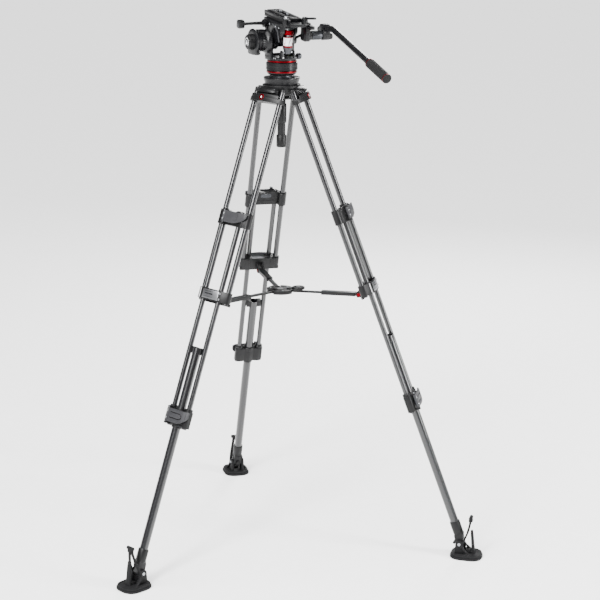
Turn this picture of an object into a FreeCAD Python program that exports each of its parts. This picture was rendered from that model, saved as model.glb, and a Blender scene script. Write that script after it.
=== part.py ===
import FreeCAD, Part
import os
from math import acos, asin, atan2, cos, degrees, pi, radians, sin, sqrt, tan

# Video tripod with twin-tube legs, a mid-level spreader and a fluid head.
# Millimetres, +Z up. The origin is on the tripod's upright axis, at floor level.
# Leg 1 points along +Y; legs 2 and 3 follow every 120 degrees, seen from above.

V = FreeCAD.Vector

# ---- legs: overall layout -------------------------------------------------
LEG_AZIMUTHS = (90.0, 210.0, 330.0)
LEG_SPREAD = 20.9          # angle between a leg and the upright axis
HINGE_RADIUS = 51.0        # leg hinge axis, from the upright axis
HINGE_HEIGHT = 1382.0      # leg hinge axis, above the floor

# ---- leg tubes ------------------------------------------------------------
UPPER_TUBE_R = 8.0
UPPER_TUBE_GAP = 104.0     # between the two upper tubes' axes
UPPER_TUBE_TOP = 19.0      # how far the upper tubes stand above the hinge
UPPER_TUBE_LENGTH = 645.0
MID_TUBE_R = 7.5
MID_TUBE_GAP = 64.0
MID_TUBE_OFFSET = 12.0     # outward offset of the mid and lower tubes
LOWER_TUBE_R = 12.5
TUBE_WALL = 1.6
SLIDE_FIT = 0.05           # radial clearance of a tube in its sliding bore
FREE_GAP = 0.5             # clearance between pieces that pass each other

# ---- leg fittings, measured down the leg from the hinge axis ----------------
YOKE_BOTTOM = 26.0
YOKE_TOP = 3.0
UPPER_LOCK_TOP = 347.0
UPPER_LOCK_HEIGHT = 54.0
BRACKET_TOP = 583.0
BRACKET_HEIGHT = 51.0
SLIDER_TOP = 763.0
SLIDER_HEIGHT = 20.0
LOWER_LOCK_TOP = 933.0
LOWER_LOCK_HEIGHT = 75.0
FERRULE_TOP = 1367.0
FERRULE_HEIGHT = 44.0
SLEEVE_WALL = 4.5          # wall of a lock or bracket round its tube

# ---- leg hinge --------------------------------------------------------------
BARREL_R = 10.0
BARREL_HALF = 34.0
TRUNNION_R = 6.0
TRUNNION_HALF = 42.5
CHEEK_INNER = 34.5
CHEEK_OUTER = 43.4

# ---- spreader ---------------------------------------------------------------
ARM_PIVOT_DOWN = 619.0     # arm pivot, down the leg
ARM_PIVOT_IN = 30.0        # arm pivot, inward of the upper tubes
HUB_PIVOT_R = 34.0
HUB_PIVOT_Z = 788.0
HUB_HALF = 5.5
PIVOT_PIN_R = 3.0
OUTER_ARM_LENGTH = 116.0
INNER_ARM_TAIL = 130.0     # length of the inner bar, from the hub pivot
OUTER_ARM_WIDTH = 20.0
OUTER_ARM_DEPTH = 11.0
INNER_ARM_WIDTH = 13.0
INNER_ARM_DEPTH = 5.0

# ---- foot -------------------------------------------------------------------
SHOE_PIVOT_R_POS = 570.0   # shoe pivot, from the upright axis
SHOE_PIVOT_Z = 42.0
SHOE_INNER_R = 541.0
SHOE_LENGTH = 97.0
SHOE_WIDTH = 84.0
SHOE_SOLE = 13.0
SHOE_CORNER_R = 30.0       # round enough for three soles to close together
SHOE_PIVOT_R = 5.0

# ---- bowl and levelling ball ------------------------------------------------
BOWL_SPHERE_R = 50.0       # 100 mm bowl
BOWL_RIM_Z = 1409.0
BOWL_RIM_R = 48.8
CASTING_R = 57.0
BALL_R = 37.5              # 75 mm half ball
BALL_CENTRE_Z = 1432.0
FLANGE_TOP_R = 53.4
FLANGE_TOP_Z = 1430.0
STEM_R = 6.0
HANDLE_TOP_Z = 1366.0
HANDLE_BOTTOM_Z = 1223.0
HANDLE_R = 14.4
HANDLE_WAIST_R = 11.8
HANDLE_CAP_R = 15.0

# ---- fluid head ---------------------------------------------------------------
HEAD_YAW = 11.25           # the head's heading at rest
BASE_BOTTOM_Z = 1437.0
BASE_R = 42.0
DRAG_RING_R = 46.4
DRAG_RING_Z = (1450.6, 1473.8)
PAN_PLANE_Z = 1474.6       # where the panning part starts
PAN_BODY_R = 43.6
DECK_Z = 1496.0
TILT_AXIS_Z = 1535.0
REST_TILT = 6.5            # the platform's rear is this far down at rest
CHEEK_IN = 30.0
CHEEK_THICK = 16.0
CHEEK_R = 22.0
AXLE_R = 9.0
TILT_BARREL_R = 12.0
HOUSING_X = (-96.0, -47.0)
HOUSING_R = (38.0, 28.0)
BALANCE_KNOB_X = (-113.0, -84.0)
BALANCE_KNOB_R = 22.0

# ---- platform and sliding plate, about the tilt axis with the platform level ---
PLATFORM_Z = 60.0          # underside of the platform, above the tilt axis
PLATFORM_THICK = 9.0
PLATFORM_WIDTH = 54.0
PLATFORM_Y = (-112.0, 73.0)
RAIL_HEIGHT = 8.0
RAIL_WIDTH = 5.0
PLATE_LENGTH = 140.0
PLATE_REAR_Y = -72.0
PLATE_THICK = 10.7
SCREW_LARGE_R = 4.76       # 3/8 inch camera screw
SCREW_SMALL_R = 3.17       # 1/4 inch camera screw

# ---- counterbalance piston, about the tilt axis at rest ------------------------
PISTON_BASE = (-44.0, -30.0)   # lower pivot: Y, Z
PISTON_HEAD = (-50.0, 38.0)    # upper pivot: Y, Z
PISTON_R = 16.0
PISTON_ROD_R = 7.0
PISTON_BARREL = 46.0
PISTON_ROD = 47.0
PISTON_X = -4.0
PISTON_CLEAR = 1.6        # radial, because the linkage swings it a little

# ---- pan bar, about the tilt axis with the platform level -----------------------
BAR_X = 95.0
BAR_R = 9.0
GRIP_R = 14.0
ROSETTE_Y = -82.0
ROSETTE_Z = 29.5
ROSETTE_R = 15.0
BAR_FRONT = (-50.0, 40.0)      # Y, Z of the bar's front end
BAR_BEND = (-127.5, 55.8)      # Y, Z of its bend
BAR_LENGTH = 341.0             # from the bend to the rear end
BAR_DROP = 11.9                # the rear length's fall below the platform, in degrees
GRIP_LENGTH = 108.0

ALPHA = radians(LEG_SPREAD)


# ---- small shape helpers --------------------------------------------------------
def box(x0, x1, y0, y1, z0, z1):
    return Part.makeBox(x1 - x0, y1 - y0, z1 - z0, V(x0, y0, z0))


def rod(radius, start, end):
    run = V(*end) - V(*start)
    return Part.makeCylinder(radius, run.Length, V(*start), run)


def tube(radius, wall, start, end):
    return rod(radius, start, end).cut(rod(radius - wall, start, end))


def cone(r0, r1, start, end):
    run = V(*end) - V(*start)
    return Part.makeCone(r0, r1, run.Length, V(*start), run)


def extrude(points, along):
    wire = Part.makePolygon([V(*p) for p in points] + [V(*points[0])])
    return Part.Face(wire).extrude(V(*along))


def revolve(profile):
    """Turns an (r, z) outline about the Z axis."""
    wire = Part.makePolygon([V(r, 0, z) for r, z in profile] + [V(profile[0][0], 0, profile[0][1])])
    return Part.Face(wire).revolve(V(0, 0, 0), V(0, 0, 1), 360)


def join(first, *others):
    return first.fuse(list(others)).removeSplitter()


def rounded(shape, radius, keep):
    """Rounds the edges that keep() picks, by no more than the shape allows."""
    edges = [e for e in shape.Edges if keep(e)]
    return shape.makeFillet(radius, edges) if edges else shape


def group(*solids):
    return Part.makeCompound(list(solids))


def arc_plate(half_width, edge_y, crown_y, back_y, z0, z1):
    """A plate whose front bulges from edge_y at its sides to crown_y in the middle."""
    left, right = V(-half_width, edge_y, z0), V(half_width, edge_y, z0)
    front = Part.Arc(right, V(0, crown_y, z0), left).toShape()
    sides = [
        Part.makeLine(left, V(-half_width, back_y, z0)),
        Part.makeLine(V(-half_width, back_y, z0), V(half_width, back_y, z0)),
        Part.makeLine(V(half_width, back_y, z0), right),
    ]
    return Part.Face(Part.Wire([front] + sides)).extrude(V(0, 0, z1 - z0))


# ---- frames ---------------------------------------------------------------------
def leg_frame(azimuth):
    """Leg frame: X across the leg, Y outward from it, Z up along it, at the hinge."""
    theta = radians(azimuth)
    out = V(cos(theta), sin(theta), 0)
    up = V(0, 0, 1)
    across = out.cross(up)
    normal = out * cos(ALPHA) + up * sin(ALPHA)
    along = up * cos(ALPHA) - out * sin(ALPHA)
    origin = out * HINGE_RADIUS + up * HINGE_HEIGHT
    return FreeCAD.Placement(FreeCAD.Matrix(
        across.x, normal.x, along.x, origin.x,
        across.y, normal.y, along.y, origin.y,
        across.z, normal.z, along.z, origin.z,
        0, 0, 0, 1))


def radial_frame(azimuth):
    """Upright frame: X outward from the tripod's axis, Z up."""
    return FreeCAD.Placement(V(0, 0, 0), FreeCAD.Rotation(V(0, 0, 1), azimuth))


def head_frame():
    """Head frame: X to its right, Y to its front, Z up, at floor level."""
    return FreeCAD.Placement(V(0, 0, 0), FreeCAD.Rotation(V(0, 0, 1), HEAD_YAW))


def tilt_frame():
    """Head frame moved to the tilt axis and turned down at the rear."""
    level = head_frame()
    tilt = FreeCAD.Placement(V(0, 0, TILT_AXIS_Z), FreeCAD.Rotation(V(1, 0, 0), REST_TILT))
    return level.multiply(tilt)


def placed(shape, placement):
    out = shape.copy()
    out.Placement = placement.multiply(out.Placement)
    return out


def save(name, shape):
    shape.exportStep("parts/" + name + ".step")
    print(name, "valid" if shape.isValid() else "NOT VALID", round(shape.Volume / 1000.0, 1), "cm3")


# ---- leg pieces, in the leg frame -------------------------------------------------
def make_yoke():
    half = UPPER_TUBE_GAP / 2 + UPPER_TUBE_R + 2
    block = arc_plate(half, 10, 28, -9, -YOKE_BOTTOM, -12)
    shield = arc_plate(half, 10, 28, -9, -12.5, -YOKE_TOP)
    shield = shield.cut(box(-80, 80, -30, 14, -12.4, 5))
    barrel = rod(BARREL_R, (-BARREL_HALF, 0, 0), (BARREL_HALF, 0, 0))
    pin = rod(TRUNNION_R, (-TRUNNION_HALF, 0, 0), (TRUNNION_HALF, 0, 0))
    neck = box(-BARREL_HALF + 1, BARREL_HALF - 1, -9, 9, -13, 0)
    body = join(block, shield, barrel, pin, neck)
    x = UPPER_TUBE_GAP / 2
    for side in (-x, x):
        body = body.cut(rod(UPPER_TUBE_R + SLIDE_FIT, (side, 0, -60), (side, 0, 20)))
    badge = rod(9, (0, 26, -15), (0, 30, -13))
    return join(body, badge)


def make_upper_tubes():
    tubes = []
    for side in (-UPPER_TUBE_GAP / 2, UPPER_TUBE_GAP / 2):
        low = (side, 0, UPPER_TUBE_TOP - UPPER_TUBE_LENGTH)
        high = (side, 0, UPPER_TUBE_TOP - 4)
        wall = tube(UPPER_TUBE_R, TUBE_WALL, low, high)
        cap = rod(UPPER_TUBE_R, high, (side, 0, UPPER_TUBE_TOP))
        tubes.append(join(wall, cap))
    return group(*tubes)


def make_bracket():
    top, low = -BRACKET_TOP, -BRACKET_TOP - BRACKET_HEIGHT
    x = UPPER_TUBE_GAP / 2
    wall = UPPER_TUBE_R + 4
    shell = join(
        box(-x, x, -wall, wall, low, top),
        rod(wall, (-x, 0, low), (-x, 0, top)),
        rod(wall, (x, 0, low), (x, 0, top)),
        arc_plate(x - 6, 20, 28, 0, low, top),
    )
    window = box(-SLIDE_WINDOW, SLIDE_WINDOW, -6, 25.2, low - 1, top + 1)
    shell = shell.cut(window)
    for side in (-x, x):
        shell = shell.cut(rod(UPPER_TUBE_R + SLIDE_FIT, (side, 0, low + 4), (side, 0, top + 1)))
    for side in (-MID_TUBE_GAP / 2, MID_TUBE_GAP / 2):
        bore = rod(MID_TUBE_R + SLIDE_FIT, (side, MID_TUBE_OFFSET, low - 1), (side, MID_TUBE_OFFSET, top + 1))
        shell = shell.cut(bore)
    z = -ARM_PIVOT_DOWN
    y = -ARM_PIVOT_IN
    for side in (-1, 1):
        inner, outer = sorted((side * 6.8, side * 11.0))
        ear = join(box(inner, outer, y, -wall + 2, z - 8, z + 8), rod(8, (inner, y, z), (outer, y, z)))
        shell = join(shell, ear)
    return shell.cut(rod(PIVOT_PIN_R + SLIDE_FIT, (-20, y, z), (20, y, z)))


SLIDE_WINDOW = MID_TUBE_GAP / 2 - MID_TUBE_R + 1.0


def make_mid_tubes():
    tubes = []
    low = -LOWER_LOCK_TOP - LOWER_LOCK_HEIGHT + 5
    for side in (-MID_TUBE_GAP / 2, MID_TUBE_GAP / 2):
        start = (side, MID_TUBE_OFFSET, low)
        tubes.append(tube(MID_TUBE_R, TUBE_WALL, start, (side, MID_TUBE_OFFSET, -UPPER_LOCK_TOP - 5)))
    return group(*tubes)


def hinge_ears(x, y, radius, back, low, high, lever_low, lever_high):
    """Two ears that carry a lever's pin, above and below the lever."""
    web = radius - 0.5
    parts = []
    for z0, z1 in ((low, lever_low - FREE_GAP), (lever_high + FREE_GAP, high)):
        parts.append(rod(radius, (x, y, z0), (x, y, z1)))
        parts.append(box(x - web, x + web, back, y, z0, z1))
    return parts


UPPER_LEVER_PIVOT = (22.0, 28.0)
UPPER_LEVER_Z = (-391.0, -357.0)
LOWER_LEVER_PIVOT = (28.0, 33.5)
LOWER_LEVER_Z = (-992.0, -952.0)


def make_upper_lock():
    top, low = -UPPER_LOCK_TOP, -UPPER_LOCK_TOP - UPPER_LOCK_HEIGHT
    x = UPPER_TUBE_GAP / 2
    wall = UPPER_TUBE_R + SLEEVE_WALL
    body = join(
        box(-x + 4, x - 4, 3, 22, low, top),
        rod(wall, (-x, 0, low), (-x, 0, top)),
        rod(wall, (x, 0, low), (x, 0, top)),
    )
    px, py = UPPER_LEVER_PIVOT
    body = join(body, *hinge_ears(px, py, 5, 20, low + 3, top - 3, *UPPER_LEVER_Z))
    for side in (-x, x):
        body = body.cut(rod(UPPER_TUBE_R + SLIDE_FIT, (side, 0, low - 1), (side, 0, top + 1)))
    for side in (-MID_TUBE_GAP / 2, MID_TUBE_GAP / 2):
        bore = rod(MID_TUBE_R + 0.02, (side, MID_TUBE_OFFSET, low - 1), (side, MID_TUBE_OFFSET, top - 5))
        body = body.cut(bore)
    return body.cut(rod(2.55, (px, py, low), (px, py, top)))


def lever_leaf(pivot, reach, bend, z_range, thick, rise):
    """A flat leaf from its hinge barrel to a tip that curls back to the leg."""
    px, py = pivot
    y0 = py - thick / 2 + rise
    z0, z1 = z_range
    outline = [
        (px, y0, z0), (px, y0 + thick, z0), (bend, y0 + thick, z0),
        (-reach, y0 + thick - 6, z0), (-reach, y0 - 6, z0), (bend, y0, z0),
    ]
    return extrude(outline, (0, 0, z1 - z0))


def make_upper_lever():
    px, py = UPPER_LEVER_PIVOT
    z0, z1 = UPPER_LEVER_Z
    barrel = rod(5, (px, py, z0), (px, py, z1))
    pin = rod(2.5, (px, py, z0 - 6), (px, py, z1 + 6))
    return join(barrel, pin, lever_leaf(UPPER_LEVER_PIVOT, 62, -34, UPPER_LEVER_Z, 5, 0))


def make_lower_lock():
    top, low = -LOWER_LOCK_TOP, -LOWER_LOCK_TOP - LOWER_LOCK_HEIGHT
    x, y = MID_TUBE_GAP / 2, MID_TUBE_OFFSET
    body = join(
        box(-x, x, 1, 24, low, top),
        rod(13.5, (-x, y, low), (-x, y, top)),
        rod(13.5, (x, y, low), (x, y, top)),
        rod(LOWER_TUBE_R + SLEEVE_WALL, (0, y, low), (0, y, top)),
    )
    px, py = LOWER_LEVER_PIVOT
    body = join(body, *hinge_ears(px, py, 5.5, 18, low + 8, top - 12, *LOWER_LEVER_Z))
    body = body.cut(rod(LOWER_TUBE_R + SLIDE_FIT, (0, y, low - 1), (0, y, top + 1)))
    for side in (-x, x):
        body = body.cut(rod(MID_TUBE_R + 0.02, (side, y, low + 5), (side, y, top + 1)))
    return body.cut(rod(2.55, (px, py, low), (px, py, top)))


def make_lower_lever():
    px, py = LOWER_LEVER_PIVOT
    z0, z1 = LOWER_LEVER_Z
    barrel = rod(5.5, (px, py, z0), (px, py, z1))
    pin = rod(2.5, (px, py, z0 - 6), (px, py, z1 + 6))
    leaf = lever_leaf(LOWER_LEVER_PIVOT, 52, -28, LOWER_LEVER_Z, 5, 0.5)
    slot = box(-30, 12, 25, 45, z0 + 14, z1 - 14)
    return join(barrel, pin, leaf).cut(slot)


def make_foot_tube():
    y = MID_TUBE_OFFSET
    low = -FERRULE_TOP - FERRULE_HEIGHT
    body = tube(LOWER_TUBE_R, 2.0, (0, y, -FERRULE_TOP - 10), (0, y, -SLIDER_TOP - 2))
    half = SLIDE_WINDOW - 1.6
    slider = box(-half, half, 3, 21, -SLIDER_TOP - SLIDER_HEIGHT, -SLIDER_TOP)
    ferrule = rod(15.5, (0, y, low), (0, y, -FERRULE_TOP))
    py, pz = shoe_pivot()
    side = 13
    tongue = extrude([(-side, -3, low + 1), (-side, 27, low + 1), (-side, py + 12, pz), (-side, py - 12, pz)],
                     (2 * side, 0, 0))
    knuckle = rod(12, (-side, py, pz), (side, py, pz))
    pin = rod(SHOE_PIVOT_R, (-22.5, py, pz), (22.5, py, pz))
    return join(body, slider, ferrule, tongue, knuckle, pin)


def shoe_pivot():
    """The shoe's pivot in the leg frame, from its place at rest."""
    r = SHOE_PIVOT_R_POS - HINGE_RADIUS
    z = SHOE_PIVOT_Z - HINGE_HEIGHT
    return r * cos(ALPHA) + z * sin(ALPHA), z * cos(ALPHA) - r * sin(ALPHA)


def make_shoe():
    """The foot pad, in the upright frame of its leg."""
    x0, x1 = SHOE_INNER_R, SHOE_INNER_R + SHOE_LENGTH
    half = SHOE_WIDTH / 2
    pad = box(x0, x1, -half, half, 0, SHOE_SOLE)
    pad = rounded(pad, SHOE_CORNER_R, lambda e: abs(e.Vertexes[0].Z - e.Vertexes[-1].Z) > 5)
    px, pz = SHOE_PIVOT_R_POS, SHOE_PIVOT_Z
    parts = [pad]
    for side in (-1, 1):
        inner, outer = sorted((side * 13.5, side * 22.0))
        parts.append(box(px - 12, px + 12, inner, outer, SHOE_SOLE - 3, pz))
        parts.append(rod(12, (px, inner, pz), (px, outer, pz)))
    parts.append(box(px + 12, px + 44, -8, 8, SHOE_SOLE - 3, 24))
    parts.append(rod(4.5, (px + 36, 0, 15), (px + 30, 0, 122)))
    parts.append(rod(5, (px + 30, -11, 125), (px + 30, 11, 125)))
    shoe = join(*parts)
    return shoe.cut(rod(SHOE_PIVOT_R + SLIDE_FIT, (px, -40, pz), (px, 40, pz)))


# ---- spreader -----------------------------------------------------------------------
def arm_pivot():
    """The arm's pivot on the bracket: distance from the upright axis, and height."""
    r = HINGE_RADIUS - ARM_PIVOT_IN * cos(ALPHA) + ARM_PIVOT_DOWN * sin(ALPHA)
    z = HINGE_HEIGHT - ARM_PIVOT_IN * sin(ALPHA) - ARM_PIVOT_DOWN * cos(ALPHA)
    return r, z


def arm_frame(azimuth):
    """Arm frame: X from the bracket to the hub, Z up, at the bracket pivot."""
    r, z = arm_pivot()
    fall = degrees(atan2(z - HUB_PIVOT_Z, r - HUB_PIVOT_R))
    here = FreeCAD.Placement(V(r, 0, z), FreeCAD.Rotation(V(0, 0, 1), 180))
    lean = FreeCAD.Placement(V(0, 0, 0), FreeCAD.Rotation(V(0, 1, 0), fall))
    return radial_frame(azimuth).multiply(here).multiply(lean)


def arm_span():
    r, z = arm_pivot()
    return sqrt((r - HUB_PIVOT_R) ** 2 + (z - HUB_PIVOT_Z) ** 2)


def make_arm_outer():
    half, deep = OUTER_ARM_WIDTH / 2, OUTER_ARM_DEPTH / 2
    channel = box(11, OUTER_ARM_LENGTH, -half, half, -deep, deep)
    inner_y = INNER_ARM_WIDTH / 2 + 0.2
    inner_z = INNER_ARM_DEPTH / 2 + 0.2
    hollow = box(arm_span() - 67.8 - INNER_ARM_TAIL - 1, OUTER_ARM_LENGTH + 1, -inner_y, inner_y, -inner_z, inner_z)
    neck = box(0, 12, -6.4, 6.4, -4.5, 4.5)
    eye = rod(6.5, (0, -6.4, 0), (0, 6.4, 0))
    pin = rod(PIVOT_PIN_R, (0, -11.4, 0), (0, 11.4, 0))
    return join(channel, neck, eye, pin).cut(hollow)


def make_arm_inner(with_knob):
    span = arm_span()
    half, deep = INNER_ARM_WIDTH / 2, INNER_ARM_DEPTH / 2
    bar = box(span - INNER_ARM_TAIL, span, -half, half, -deep, deep)
    eye = rod(4.8, (span, -8, 0), (span, 8, 0))
    arm = join(bar, eye)
    if with_knob:
        at = span - 21.6
        arm = join(arm, rod(4, (at, 0, 0), (at, 0, 8)), rod(20, (at, 0, 6.3), (at, 0, 15.6)))
    return arm


def make_hub():
    low, high = HUB_PIVOT_Z - HUB_HALF, HUB_PIVOT_Z + HUB_HALF
    hub = rod(HUB_PIVOT_R + 7, (0, 0, low), (0, 0, high))
    half = OUTER_ARM_WIDTH / 2 + 0.6
    for azimuth in LEG_AZIMUTHS:
        slot = box(17.5, HUB_PIVOT_R + 12, -half, half, low - 1, high + 1)
        hub = hub.cut(placed(slot, radial_frame(azimuth)))
    return hub


# ---- bowl casting, adaptor and ball -------------------------------------------------
def make_casting():
    ring = revolve([(34, 1378), (40, 1378), (CASTING_R, 1398), (CASTING_R, BOWL_RIM_Z), (34, BOWL_RIM_Z)])
    parts = [ring]
    cuts = [Part.makeSphere(BOWL_SPHERE_R, V(0, 0, 1420))]
    hr, hz = HINGE_RADIUS, HINGE_HEIGHT
    for azimuth in LEG_AZIMUTHS:
        frame = radial_frame(azimuth)
        outline = [(50, 1396.5), (60, 1396), (72, 1389.8), (77, 1390), (77, 1393), (60, 1405), (50, 1406)]
        roof = extrude([(r, -CHEEK_OUTER, z) for r, z in outline], (0, 2 * CHEEK_OUTER, 0))
        parts.append(placed(roof, frame))
        for side in (-1, 1):
            inner, outer = sorted((side * CHEEK_INNER, side * CHEEK_OUTER))
            cheek = join(
                rod(11, (hr, inner, hz), (hr, outer, hz)),
                box(hr - 11, hr + 10.5, inner, outer, hz, 1397),
            )
            parts.append(placed(cheek, frame))
        cuts.append(placed(rod(BARREL_R + 0.6, (hr, -CHEEK_INNER, hz), (hr, CHEEK_INNER, hz)), frame))
        cuts.append(placed(rod(TRUNNION_R + SLIDE_FIT, (hr, -60, hz), (hr, 60, hz)), frame))
    casting = join(*parts)
    for cut in cuts:
        casting = casting.cut(cut)
    return casting


def make_adaptor():
    slab = box(-70, 70, -70, 70, 1384, 1411)
    lower = Part.makeSphere(BOWL_SPHERE_R - SLIDE_FIT, V(0, 0, 1420)).common(slab)
    upper = revolve([(0, 1410.9), (BOWL_RIM_R, 1410.9), (FLANGE_TOP_R, 1427.5), (FLANGE_TOP_R, FLANGE_TOP_Z),
                     (0, FLANGE_TOP_Z)])
    body = join(lower, upper)
    body = body.cut(Part.makeSphere(BALL_R + SLIDE_FIT, V(0, 0, BALL_CENTRE_Z)))
    return body.cut(rod(26, (0, 0, 1370), (0, 0, 1420)))


def make_half_ball():
    slab = box(-60, 60, -60, 60, BALL_CENTRE_Z - 60, BALL_CENTRE_Z)
    ball = Part.makeSphere(BALL_R, V(0, 0, BALL_CENTRE_Z)).common(slab)
    neck = rod(30, (0, 0, BALL_CENTRE_Z - 1), (0, 0, BASE_BOTTOM_Z))
    stem = rod(STEM_R, (0, 0, HANDLE_TOP_Z - 64), (0, 0, BALL_CENTRE_Z - 20))
    return join(ball, neck, stem)


def make_handle():
    z0, z1 = HANDLE_BOTTOM_Z, HANDLE_TOP_Z
    body = revolve([
        (0, z0), (HANDLE_CAP_R - 5, z0), (HANDLE_CAP_R, z0 + 6), (HANDLE_CAP_R, 1259),
        (HANDLE_WAIST_R, 1259), (HANDLE_WAIST_R, 1295), (HANDLE_R, 1295), (HANDLE_R, 1352),
        (12, 1352), (12, z1), (24, z1), (24, z1 + 8), (0, z1 + 8),
    ])
    return body.cut(rod(STEM_R + SLIDE_FIT, (0, 0, z1 - 66), (0, 0, z1 + 10)))


# ---- fluid head -----------------------------------------------------------------------
PAN_SPIGOT_R = 12.0
DRAG_BORE_R = 34.0


def make_head_base():
    low, high = DRAG_RING_Z
    base = revolve([(0, BASE_BOTTOM_Z), (40.6, BASE_BOTTOM_Z), (44, 1443), (45.2, 1444), (45.2, 1448.5),
                    (BASE_R, 1450), (DRAG_BORE_R, 1450), (DRAG_BORE_R, high + 0.3), (0, high + 0.3)])
    return base.cut(rod(PAN_SPIGOT_R + SLIDE_FIT, (0, 0, 1452), (0, 0, 1480)))


def make_drag_ring():
    low, high = DRAG_RING_Z
    return tube(DRAG_RING_R, DRAG_RING_R - DRAG_BORE_R - SLIDE_FIT, (0, 0, low), (0, 0, high))


KNOB_Z = 1488.0
KNOB_Y = -5.0


def make_pan_body():
    axis = TILT_AXIS_Z
    parts = [
        rod(PAN_BODY_R, (0, 0, PAN_PLANE_Z), (0, 0, 1480)),
        rod(BASE_R, (0, 0, 1479), (0, 0, DECK_Z)),
        rod(PAN_SPIGOT_R, (0, 0, 1453), (0, 0, 1476)),
        box(-47, 31, -20, 20, 1481, DECK_Z),
        rod(15, (7, -35, 1482), (7, -35, 1494)),
    ]
    for x0, x1 in ((-47, -37), (21.5, 31)):
        parts.append(box(x0, x1, -20, 20, 1490, axis))
        parts.append(rod(20, (x0, 0, axis), (x1, 0, axis)))
    by, bz = PISTON_BASE
    for x0, x1 in ((PISTON_X - 21.5, PISTON_X - 17), (PISTON_X + 17, PISTON_X + 21.5)):
        parts.append(box(x0, x1, by - 6, by + 12, 1481, axis + bz))
        parts.append(rod(6, (x0, by, axis + bz), (x1, by, axis + bz)))
    body = join(*parts)
    body = body.cut(rod(AXLE_R + 0.02, (-60, 0, axis), (60, 0, axis)))
    body = body.cut(rod(PIVOT_PIN_R + SLIDE_FIT, (-60, by, axis + bz), (60, by, axis + bz)))
    return body.cut(rod(3 + SLIDE_FIT, (34, KNOB_Y, KNOB_Z), (60, KNOB_Y, KNOB_Z)))


def make_pan_lock_knob():
    stem = rod(3, (35, KNOB_Y, KNOB_Z), (47, KNOB_Y, KNOB_Z))
    grip = rod(9, (44.5, KNOB_Y, KNOB_Z), (59, KNOB_Y, KNOB_Z))
    return join(stem, grip)


def make_tilt_housing():
    axis = TILT_AXIS_Z
    x0, x1 = HOUSING_X
    wide, narrow = HOUSING_R
    bell = join(
        cone(narrow, wide, (x0, 0, axis), (x0 + 22, 0, axis)),
        rod(wide, (x0 + 22, 0, axis), (x1, 0, axis)),
        rod(AXLE_R, (x1 - 1, 0, axis), (31, 0, axis)),
    )
    return bell.cut(rod(BALANCE_KNOB_R + 0.5, (x0 - 1, 0, axis), (x0 + 12, 0, axis)))


def make_balance_knob():
    axis = TILT_AXIS_Z
    return rod(BALANCE_KNOB_R, (BALANCE_KNOB_X[0], 0, axis), (HOUSING_X[0] + 11.5, 0, axis))


def tilt_local(y, z):
    """A point of the resting head, in the tilt frame."""
    c, s = cos(radians(REST_TILT)), sin(radians(REST_TILT))
    return y * c + z * s, z * c - y * s


LOCK_LEVER_AT = (35.4, 45.3)


def make_tilt_body():
    """The tilting cradle, in the tilt frame."""
    hy, hz = tilt_local(*PISTON_HEAD)
    parts = [rod(18, (-36, 0, 0), (20.5, 0, 0)), box(-36, 20.5, -58, 58, 50, PLATFORM_Z)]
    outline = [(-24, -4), (-57, 34), (-57, 51), (50, 51), (46, 30), (24, 0)]
    for x0, x1 in ((-36, -21.5), (13.5, 20.5)):
        parts.append(extrude([(x0, y, z) for y, z in outline], (x1 - x0, 0, 0)))
        parts.append(rod(24, (x0, 0, 0), (x1, 0, 0)))
    body = join(*parts)
    body = body.cut(rod(AXLE_R + SLIDE_FIT, (-60, 0, 0), (60, 0, 0)))
    body = body.cut(rod(PIVOT_PIN_R + SLIDE_FIT, (-60, hy, hz), (60, hy, hz)))
    ly, lz = LOCK_LEVER_AT
    return body.cut(rod(6 + SLIDE_FIT, (-60, ly, lz), (-20, ly, lz)))


def make_tilt_lock_lever():
    ly, lz = LOCK_LEVER_AT
    return join(
        rod(6, (-35, ly, lz), (-22, ly, lz)).fuse(rod(6, (-38, ly, lz), (-34, ly, lz))),
        rod(12, (-48, ly, lz), (-37, ly, lz)),
        cone(6, 9, (-112, ly, lz), (-47, ly, lz)),
        rod(12.5, (-127, ly, lz), (-110, ly, lz)),
    )


def make_piston_barrel():
    """The counterbalance cylinder, upright at its lower pivot."""
    body = rod(PISTON_R, (0, 0, -5), (0, 0, PISTON_BARREL))
    pin = rod(PIVOT_PIN_R, (-21.3, 0, 0), (21.3, 0, 0))
    return join(body, pin).cut(rod(PISTON_ROD_R + PISTON_CLEAR, (0, 0, 4), (0, 0, PISTON_BARREL + 1)))


def make_piston_rod():
    """The counterbalance rod, hanging from its upper pivot."""
    shaft = rod(PISTON_ROD_R, (0, 0, -PISTON_ROD), (0, 0, 0))
    eye = rod(5, (-12, 0, 0), (12, 0, 0))
    pin = rod(PIVOT_PIN_R, (-28, 0, 0), (23, 0, 0))
    return join(shaft, eye, pin)


def piston_frame(at):
    """Upright along the piston, at one of its pivots, in the resting head."""
    run_y, run_z = PISTON_HEAD[0] - PISTON_BASE[0], PISTON_HEAD[1] - PISTON_BASE[1]
    lean = degrees(atan2(-run_y, run_z))
    here = V(PISTON_X, at[0], TILT_AXIS_Z + at[1])
    return head_frame().multiply(FreeCAD.Placement(here, FreeCAD.Rotation(V(1, 0, 0), lean)))


BUTTON_AT = (-30.0, -76.0)
PLATE_LEVER_AT = (18.0, -103.0)


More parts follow.
